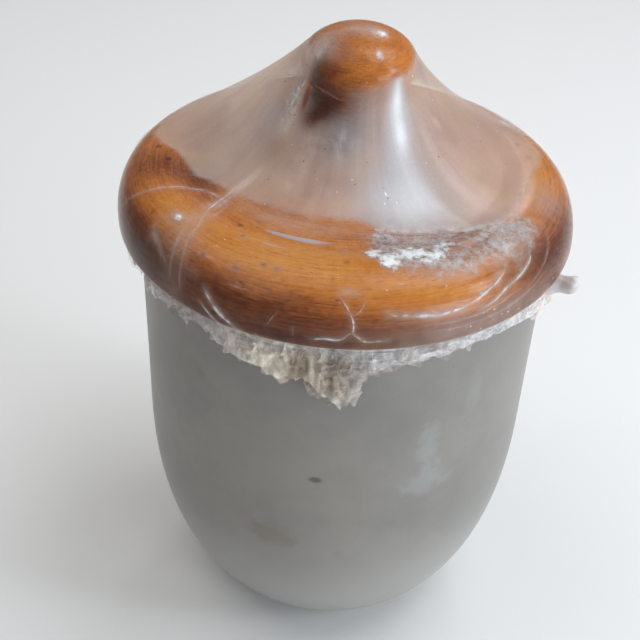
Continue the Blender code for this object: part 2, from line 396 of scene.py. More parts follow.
def newTree(name, inputs, output):
    # A tree with its named sockets, and the function that adds a node with its settings, its linked
    # inputs and its plain ones
    tree = bpy.data.node_groups.new(name, "GeometryNodeTree")
    for socket, kind in inputs.items():
        tree.interface.new_socket(socket, in_out="INPUT", socket_type="NodeSocket" + kind)
    tree.interface.new_socket(output, in_out="OUTPUT", socket_type="NodeSocketGeometry")

    def add(kind, links, out=0, **settings):
        made = tree.nodes.new(kind)
        for key, value in settings.items():
            setattr(made, key, value)
        for key, source in links.items():
            if isinstance(source, bpy.types.NodeSocket):
                tree.links.new(source, made.inputs[key])
            else:
                made.inputs[key].default_value = source
        return made.outputs[out] if made.outputs else made

    return tree, add, tree.nodes.new("NodeGroupInput").outputs


def runTree(holder, tree, values):
    # Adds the tree to the object, sets its inputs, and returns what it makes as a plain mesh
    modifier = holder.modifiers.new(tree.name, "NODES")
    modifier.node_group = tree
    for item in tree.interface.items_tree:
        if item.name in values:
            modifier[item.identifier] = values[item.name]
    evaluated = holder.evaluated_get(bpy.context.evaluated_depsgraph_get())
    mesh = bpy.data.meshes.new_from_object(evaluated)
    bpy.data.objects.remove(holder, do_unlink=True)
    return mesh


def wheelTree():
    # The potter's wheel: it turns a profile about Z
    inputs = {"Profile": "Geometry", "Steps": "Int", "Wheel radius": "Float", "Weld": "Float",
              "Glaze": "Material"}
    tree, add, given = newTree("wheel", inputs, "Turned")
    inwards = add("ShaderNodeMath", {0: 0.0, 1: given["Wheel radius"]}, operation="SUBTRACT")
    shift = add("ShaderNodeCombineXYZ", {"X": inwards})
    laid = add("GeometryNodeTransform", {"Geometry": given["Profile"], "Translation": shift,
                                         "Rotation": (quarterTurn, 0.0, 0.0)})
    profile = add("GeometryNodeMeshToCurve", {"Mesh": laid})
    wheel = add("GeometryNodeCurvePrimitiveCircle", {"Resolution": given["Steps"],
                                                     "Radius": given["Wheel radius"]})
    swept = add("GeometryNodeCurveToMesh", {"Curve": wheel, "Profile Curve": profile})
    welded = add("GeometryNodeMergeByDistance", {"Geometry": swept, "Distance": given["Weld"]})
    smooth = add("GeometryNodeSetShadeSmooth", {"Geometry": welded})
    real = add("GeometryNodeRealizeInstances", {"Geometry": smooth})
    done = add("GeometryNodeSetMaterial", {"Geometry": real, "Material": given["Glaze"]})
    add("NodeGroupOutput", {"Turned": done})
    return tree


def turned(name, outline, material, v):
    edges = [(i, i + 1) for i in range(len(outline) - 1)]
    mesh = newMesh(name + "Outline", [(r, 0.0, z) for r, z in outline], [], edges)
    setField(mesh, "along", lengths(outline))
    values = {"Steps": v["steps"], "Wheel radius": v["wheelRadius"], "Weld": v["weld"], "Glaze": material}
    made = runTree(addObject(name + "Outline", mesh), wheelTree(), values)
    made.name = name
    return addObject(name, made)


# Jar

jarValues = dict(
    bodyRadius=0.0520, bodyHeight=0.1187, wall=0.0050, floor=0.0060, footRadius=0.0290,
    bendHeight=0.0647, bottomSweep=0.0427, bottomRoundness=2.32, bottomSteps=44,
    mouthRounding=0.0018, footRounding=0.0012,
    steps=180, wheelRadius=0.2, weld=0.000005, rowSpacing=0.0016,
    waver=0.00010, waverLength=0.030,  # how far the thrown wall strays inwards, and over what length
    trueFoot=0.02, trueMouth=0.01,  # heights over which it comes true again
    pale=(0.268, 0.250, 0.226), grey=(0.215, 0.203, 0.186), dust=(0.24, 0.23, 0.21),
    # The last colour on the next line is the pale colour of the painted floor bounce on the lower wall
    speck=(0.075, 0.055, 0.04), bounceLight=(0.440, 0.435, 0.425),
    bare=(0.46, 0.38, 0.29), darkBare=(0.30, 0.235, 0.17),
    # The painted floor bounce fades in between the pair of heights that opens the next line, with the share
    # given on the line after
    bounceLightHeights=(0.062, 0.012), glazeEdge=0.0016, edgeWander=0.0008,
    dustShare=0.12, dustSway=0.30, speckShare=0.55, bounceLightShare=0.55, cloudMottle=0.35, markRagged=2.2,
    roughness=0.36, roughnessSway=0.16, bareRoughness=0.85, relief=0.10, reflection=0.5,
    # Noises: scale, detail, roughness
    noises=dict(cloud=(26.0, 5.0, 0.6), mottle=(160.0, 4.0, 0.6), fine=(900.0, 3.0, 0.6),
                thinning=(60.0, 2.0), ragged=(210.0, 5.0, 0.65)),
    pinholeScale=260.0,
    # Where each mask begins and where it is full
    fades=dict(cloud=(0.32, 0.70), pinhole=(0.16, 0.07), thinning=(0.60, 0.72), mark=(1.25, 0.35)),
    # Marks: azimuth in degrees, height, width and height of the mark, colour, strength, raggedness
    marks=(
        (-93.7, 0.0751, 0.0017, 0.0011, (0.075, 0.07, 0.045), 0.85, 0.7),
        (-105.9, 0.0519, 0.007, 0.0042, (0.17, 0.12, 0.09), 0.5, 1),
        # Painted shade under the lid's rim, on the jar's upper left
        (-158, 0.102, 0.031, 0.033, (0.15, 0.135, 0.115), 0.46, 0.3),
        (-129, 0.068, 0.0045, 0.01, (0.24, 0.215, 0.17), 0.3, 0.9),
        (-120.5, 0.056, 0.0055, 0.0085, (0.25, 0.215, 0.17), 0.26, 0.9),
        # These three pale bluish patches are a painted sheen
        (-62.9, 0.0835, 0.0036, 0.008, (0.5, 0.56, 0.6), 0.17, 1.1),
        (-62, 0.0715, 0.007, 0.0046, (0.5, 0.56, 0.6), 0.17, 1.2),
        (-50, 0.096, 0.0025, 0.009, (0.5, 0.54, 0.56), 0.08, 1),
        (-86.5, 0.048, 0.0018, 0.0014, (0.2, 0.18, 0.16), 0.35, 0.6),
        (-128, 0.0975, 0.0014, 0.0011, (0.17, 0.15, 0.12), 0.4, 0.6),
        (35, 0.06, 0.008, 0.0055, (0.24, 0.2, 0.16), 0.3, 0.9),
        (78, 0.088, 0.002, 0.0014, (0.1, 0.08, 0.06), 0.6, 0.4),
        (120, 0.042, 0.006, 0.006, (0.24, 0.21, 0.17), 0.28, 0.9),
        (165, 0.07, 0.0018, 0.0013, (0.12, 0.1, 0.08), 0.5, 0.4),
    ),
)


def jarOutline(v):
    middle = (v["bodyRadius"] - v["bottomSweep"], v["bendHeight"])
    n = v["bottomRoundness"]
    across = (v["footRadius"] - middle[0]) / v["bottomSweep"]
    rise = (1 - across**n) ** (1 / n)
    reach = (v["bottomSweep"], -v["bendHeight"] / rise)
    lastAngle = math.acos(across ** (n / 2))
    side = [(v["bodyRadius"], v["bodyHeight"])]
    side += superCurve(middle, reach, 0.0, lastAngle, v["bottomSteps"], n)
    inside = above(movedOut(side, -v["wall"]), v["floor"])
    mouthIn, mouthOut = (inside[0][0], v["bodyHeight"]), (v["bodyRadius"], v["bodyHeight"])
    outline = [(0.0, v["floor"])] + inside[:0:-1]
    outline += rounded(inside[1], mouthIn, mouthOut, v["mouthRounding"])
    outline += rounded(mouthIn, mouthOut, side[1], v["mouthRounding"])
    outline += side[1:-1]
    outline += rounded(side[-2], (v["footRadius"], 0.0), (0.0, 0.0), v["footRounding"])
    outline.append((0.0, 0.0))
    return refined(outline, v["rowSpacing"])


def jarGlaze(v):
    paint, fades = Paint("satinGreyGlaze"), v["fades"]
    place = paint.place()
    height = paint.axis(place, "Z")
    n = SimpleNamespace(**paint.grains(place, v["noises"]))
    clouds = (n.cloud + n.mottle.sway(v["cloudMottle"])).fade(*fades["cloud"])
    colour = paint.blend(clouds, v["grey"], v["pale"])
    colour = paint.blend(n.fine.sway(v["dustSway"]) + v["dustShare"], colour, v["dust"])
    # Pinholes and iron specks, a few where a coarse noise lets them through
    pinholes = paint.cells(place, v["pinholeScale"]).fade(*fades["pinhole"])
    pinholes = pinholes * n.thinning.fade(*fades["thinning"])
    colour = paint.blend(pinholes * v["speckShare"], colour, v["speck"])
    for azimuth, z, width, tall, tone, strength, rough in v["marks"]:
        turn = math.radians(azimuth)
        spot = (v["bodyRadius"] * math.cos(turn), v["bodyRadius"] * math.sin(turn), z)
        far = paint.distance(paint.stretch(paint.shift(place, spot), (1 / width, 1 / width, 1 / tall)))
        mark = (far + n.ragged.sway(v["markRagged"] * rough)).fade(*fades["mark"])
        colour = paint.blend(mark * strength, colour, tone)
    # Paler towards the bottom: painted light, standing for the floor's bounce on the lower wall
    colour = paint.blend(height.fade(*v["bounceLightHeights"]) * v["bounceLightShare"], colour, v["bounceLight"])
    bare = (height + n.mottle.sway(v["edgeWander"])).fade(v["glazeEdge"], v["glazeEdge"] * 0.6)
    colour = paint.blend(bare, colour, paint.blend(n.fine, v["bare"], v["darkBare"]))
    rough = n.mottle.sway(v["roughnessSway"]) + v["roughness"]
    rough = rough + bare * (v["bareRoughness"] - v["roughness"])
    bump = paint.bump(n.mottle * 0.5 + n.fine * (0.12 + bare * 0.8), v["relief"])
    return paint.finish(paint.surface(colour, rough, v["reflection"], bump))


def waver(piece, v):
    # The wall strays a little inwards, as a thrown wall does; the foot and mouth stay true
    found = points(piece.data)
    stray = np.array([noise.noise(Vector(p) / v["waverLength"]) for p in found])
    away = np.hypot(found[:, 0], found[:, 1])
    held = np.clip(found[:, 2] / v["trueFoot"], 0, 1)
    held = held * np.clip((v["bodyHeight"] - found[:, 2]) / v["trueMouth"], 0, 1)
    push = -np.clip(0.5 + stray, 0, 1) * v["waver"] * held
    found[:, :2] *= (1 + push / np.maximum(away, v["wall"]))[:, None]
    movePoints(piece.data, found)


jar = turned("jar", jarOutline(jarValues), jarGlaze(jarValues), jarValues)
waver(jar, jarValues)
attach(jar, "pot")
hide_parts("pot_body")
print("jar turned and glazed,", len(jar.data.polygons), "faces")


# Lid. Places on it and on the film are given as azimuth in degrees and length in millimetres along
# the profile, from the top of the knob

lidValues = dict(
    base=0.1190, edgeRadius=0.0547, bulge=0.0024, bulgeHeight=0.0026, shoulder=0.0134,
    width=0.0130, roundness=2.37, edgeRounding=0.0009, valleyInset=0.0062, valleyDrop=0.0010,
    neckRadius=0.0108, neckHeight=0.0330, neckSweep=0.0095, valleySweep=0.0120,
    knobRadius=0.0135, knobHalfHeight=0.0085, knobHeight=0.0503, knobRoundness=2.11,
    knobUnderside=math.radians(38), knobTuck=0.0016,
    knobLean=0.0010, rimShift=0.0007,  # the knob stands a little to the right, the rim's top to the left
    ringRadius=0.0460, ringBore=0.0420, ringDepth=0.0090, ringRounding=0.0012, ringRoot=0.0010,
    hollowRise=0.0100, hollowRoundness=3.0,
    steps=192, wheelRadius=0.2, weld=0.000005, rowSpacing=0.0012,
    knobSteps=26, neckSteps=8, valleySteps=24, rimSteps=(26, 10), hollowSteps=20, cornerSteps=4,
    # Colours from the darkest glaze to the lightest, and where each stands on the tone's scale
    umber=(0.045, 0.013, 0.009), rust=(0.180, 0.046, 0.015), amber=(0.480, 0.155, 0.028),
    gold=(0.660, 0.300, 0.066), toneStops=(0.0, 0.30, 0.62, 1.0), toneStart=0.66, glazeAndShadeShare=0.62,
    speck=(0.030, 0.014, 0.018), bare=(0.45, 0.36, 0.26), darkBare=(0.31, 0.235, 0.16),
    bareBelow=(0.0012, 0.0002), bareWithin=(0.0400, 0.0425),  # above the base, and from the axis
    roughness=0.20, relief=0.16, reflection=0.22,
    # Noises: scale, detail, roughness
    noises=dict(blot=(90.0, 5.0, 0.6), patch=(420.0, 4.0, 0.7), thinning=(60.0, 2.0)),
    # Noises that run round the rim: turns, rows, detail, roughness
    streaks=dict(broad=(2.2, 230.0, 4.0, 0.55), streak=(2.0, 1400.0, 6.0, 0.75),
                 hair=(4.5, 4200.0, 4.0, 0.7), grit=(40.0, 1500.0, 4.0, 0.7),
                 scratch=(2.6, 1500.0, 2.0, 0.5), smear=(6.0, 420.0, 4.0, 0.6), swirl=(3.0, 700.0, 2.0, 0.5)),
    toneSways=dict(broad=0.28, streak=0.40, hair=0.42, blot=0.25, patch=0.34, grit=0.40),
    scratchShare=0.34, pitScale=190.0, pitRagged=0.3, pitShare=0.8, smearShare=0.55,
    # Where each mask begins and where it is full
    fades=dict(scratch=(0.016, 0.0), scratched=(0.35, 0.6), pit=(0.22, 0.10), thinning=(0.50, 0.60),
               smear=(0.69, 0.75)),
    # Where the glaze is darker: azimuth, length, half spans, amount. Those on the neck and the knob's left
    # side, at azimuths -160 to -90 and lengths 9 to 30, and the band round the lower edge at length 85 are
    # painted shade
    glazeAndShadePlaces=(
        (-106, 70.5, 26, 4.6, 0.55), (-146, 71, 22, 6, 0.9), (-100, 77, 60, 3.6, 0.76),
        (-75, 73, 14, 3.5, 0.25), (-22, 69, 18, 5.5, 0.75), (-42, 75.5, 26, 3.6, 0.5),
        (40, 72, 45, 6, 0.45), (110, 70, 40, 6.5, 0.6), (-108, 57, 30, 6, -0.34),
        (-72, 65.5, 18, 3.6, -0.18), (-39, 67, 10, 4, 0.4), (-146, 60, 9, 4, -0.1),
        (-162, 49, 16, 6, 0.62), (-110, 45.5, 40, 3, 0.02), (-172, 58, 12, 9, 0.42),
        (-60, 50, 24, 5, 0.35), (20, 58, 40, 5, -0.2), (150, 56, 40, 5, -0.2), (-120, 22, 30, 7, 0.62),
        (-100, 30, 40, 6, 0.3), (-150, 14, 30, 4, 0.45), (-90, 15.5, 50, 1.8, 0.25),
        (-90, 6, 180, 7, 0.1), (-140, 9, 34, 5, 0.3), (-150, 19, 24, 6, 0.45), (-160, 22, 14, 5, 0.7),
        (-90, 85, 400, 3.5, 0.55), (70, 26, 60, 6, 0.35),
    ),
)
filmCrest = 55.2  # the length at the rim's crest
rimRadius = lidValues["edgeRadius"] + lidValues["bulge"]
rimMiddle = lidValues["base"] + lidValues["bulgeHeight"]
crestRadius = rimRadius - lidValues["width"]
crestHeight = rimMiddle + lidValues["shoulder"]
knobMiddle = lidValues["base"] + lidValues["knobHeight"] - lidValues["knobHalfHeight"]


def knobPoint(v, angle):
    # Top of the knob at a quarter turn, its widest line at 0, its underside below
    across = np.maximum(np.cos(angle), 0) ** (2 / v["knobRoundness"])
    up = np.sign(angle) * np.abs(np.sin(angle)) ** (2 / v["knobRoundness"])
    return np.stack([v["knobRadius"] * across, knobMiddle + v["knobHalfHeight"] * up], -1)


def knobCurve(v):
    angles = np.linspace(quarterTurn, -v["knobUnderside"], v["knobSteps"] + 1)
    return [tuple(place) for place in knobPoint(v, angles).tolist()]


def leaned(found, v):
    # A thrown lid isn't quite true: its rim drifts to the left as it rises, its knob to the right
    rise = np.clip((found[..., 2] - v["base"]) / (crestHeight - v["base"]), 0, 1)
    share = np.clip((found[..., 2] - crestHeight) / (knobMiddle - crestHeight), 0, 1)
    found[..., 0] += v["knobLean"] * share * share * (3 - 2 * share) - v["rimShift"] * rise * (1 - share)
    return found


def neckCurve(v, finer=1):
    # From under the knob, down the neck, over the low top and up to the rim's crest
    under = tuple(knobPoint(v, -v["knobUnderside"]).tolist())
    waist = (v["neckRadius"], v["base"] + v["neckHeight"])
    tuck = (under[0] - v["knobTuck"], under[1] - v["knobTuck"])
    valley = (crestRadius - v["valleyInset"], crestHeight - v["valleyDrop"])
    crest = (crestRadius, crestHeight)
    made = bezier(under, tuck, (waist[0], (waist[1] + under[1]) / 2), waist, v["neckSteps"] * finer)
    made += bezier(waist, (waist[0], waist[1] - v["neckSweep"]), (valley[0] - v["valleySweep"], valley[1]),
                   valley, v["valleySteps"] * finer)[1:]
    made += bezier(valley, (valley[0] + v["valleyInset"] / 2, valley[1]),
                   (crest[0] - v["valleyInset"] / 3, crest[1]), crest, v["neckSteps"] * finer)[1:]
    return made


def rimCurve(v, shoulderSteps, bulgeSteps):
    # From the crest over the shoulder, and under the rim's widest line to its lower edge
    shoulder = superCurve((crestRadius, rimMiddle), (v["width"], v["shoulder"]), quarterTurn, 0.0,
                          shoulderSteps, v["roundness"])
    bulge = superCurve((v["edgeRadius"], rimMiddle), (v["bulge"], -v["bulgeHeight"]), 0.0, quarterTurn,
                       bulgeSteps)
    return shoulder + bulge[1:]


def lidOutline(v):
    edge, root = (v["edgeRadius"], v["base"]), (v["ringRadius"], v["base"])
    ringBottom = v["base"] - v["ringDepth"]
    outerFoot, innerFoot = (v["ringRadius"], ringBottom), (v["ringBore"], ringBottom)
    hollow = superCurve((0.0, v["base"]), (v["ringBore"], v["hollowRise"]), 0.0, quarterTurn,
                        v["hollowSteps"], v["hollowRoundness"])
    outline = knobCurve(v) + neckCurve(v)[1:] + rimCurve(v, *v["rimSteps"])[1:-1]
    outline += rounded(outline[-1], edge, root, v["edgeRounding"], v["cornerSteps"])
    outline += rounded(edge, root, outerFoot, v["ringRoot"], v["cornerSteps"])
    outline += rounded(root, outerFoot, innerFoot, v["ringRounding"])
    outline += rounded(outerFoot, innerFoot, hollow[0], v["ringRounding"])
    return refined(outline + hollow, v["rowSpacing"])


def patches(azimuth, length, places):
    # Soft patches summed, each an azimuth, a length, its half spans and its amount
    total = np.zeros_like(azimuth)
    for middle, s, wide, tall, amount in places:
        turn = (azimuth - middle + 180) % 360 - 180
        total += amount * np.exp(-((turn / wide) ** 2 + ((length - s) / tall) ** 2))
    return total


def lidGlaze(v):
    paint, fades = Paint("streakedAmberGlaze"), v["fades"]
    place, burn = paint.place(), paint.field("burn")
    streaks, radius = paint.streaks(place, paint.field("along"), v["streaks"])
    n = SimpleNamespace(**paint.grains(place, v["noises"]), **streaks)
    # The tone darkens where the glaze is darker, and for the painted shade at the neck, the knob's left side
    # and the lower edge
    tone = v["toneStart"] - burn * v["glazeAndShadeShare"]
    for name, share in v["toneSways"].items():
        tone = tone + vars(n)[name].sway(share)
    scratches = abs(n.scratch - 0.5).fade(*fades["scratch"])
    tone = tone - scratches * (n.blot.fade(*fades["scratched"]) * v["scratchShare"])
    stops = list(zip(v["toneStops"], (v["umber"], v["rust"], v["amber"], v["gold"])))
    colour = paint.node("ShaderNodeValToRGB", {"stops": stops}, [tone])
    pits = (paint.cells(place, v["pitScale"]) + n.patch.sway(v["pitRagged"])).fade(*fades["pit"])
    pits = pits * n.thinning.fade(*fades["thinning"])
    smears = n.smear.fade(*fades["smear"]) * v["smearShare"]
    colour = paint.blend((pits * v["pitShare"]).most(smears), colour, v["speck"])
    height = paint.axis(place, "Z")
    under = (height - v["base"]).fade(*v["bareBelow"]) * radius.fade(*v["bareWithin"])
    colour = paint.blend(under, colour, paint.blend(n.blot, v["bare"], v["darkBare"]))
    rough = n.blot.sway(0.12) + v["roughness"] + under * 0.6 + pits * 0.2
    bump = paint.bump(n.swirl * 0.20 + n.blot * 0.35 - pits * 0.3, v["relief"])
    return paint.finish(paint.surface(colour, rough, v["reflection"], bump))


lid = turned("glazedLid", lidOutline(lidValues), lidGlaze(lidValues), lidValues)
lidPoints = points(lid.data)
lidAzimuth = np.degrees(np.arctan2(lidPoints[:, 1], lidPoints[:, 0]))
movePoints(lid.data, leaned(lidPoints, lidValues))
lidAlong = np.empty(len(lidPoints))
lid.data.attributes["along"].data.foreach_get("value", lidAlong)
# The same lengths as on the film, so that the two are marked alike
crestAlong = lengths(knobCurve(lidValues) + neckCurve(lidValues)[1:])[-1]
lidLength = np.where(lidAlong < crestAlong, lidAlong / crestAlong * filmCrest,
                     filmCrest + (lidAlong - crestAlong) / mm)
# Darker glaze, and painted shade at the neck, the knob's left side and the lower edge
setField(lid.data, "burn", patches(lidAzimuth, lidLength, lidValues["glazeAndShadePlaces"]))
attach(lid, "lid")
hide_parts("lid")
print("lid turned and glazed,", len(lid.data.polygons), "faces")


# Cling film

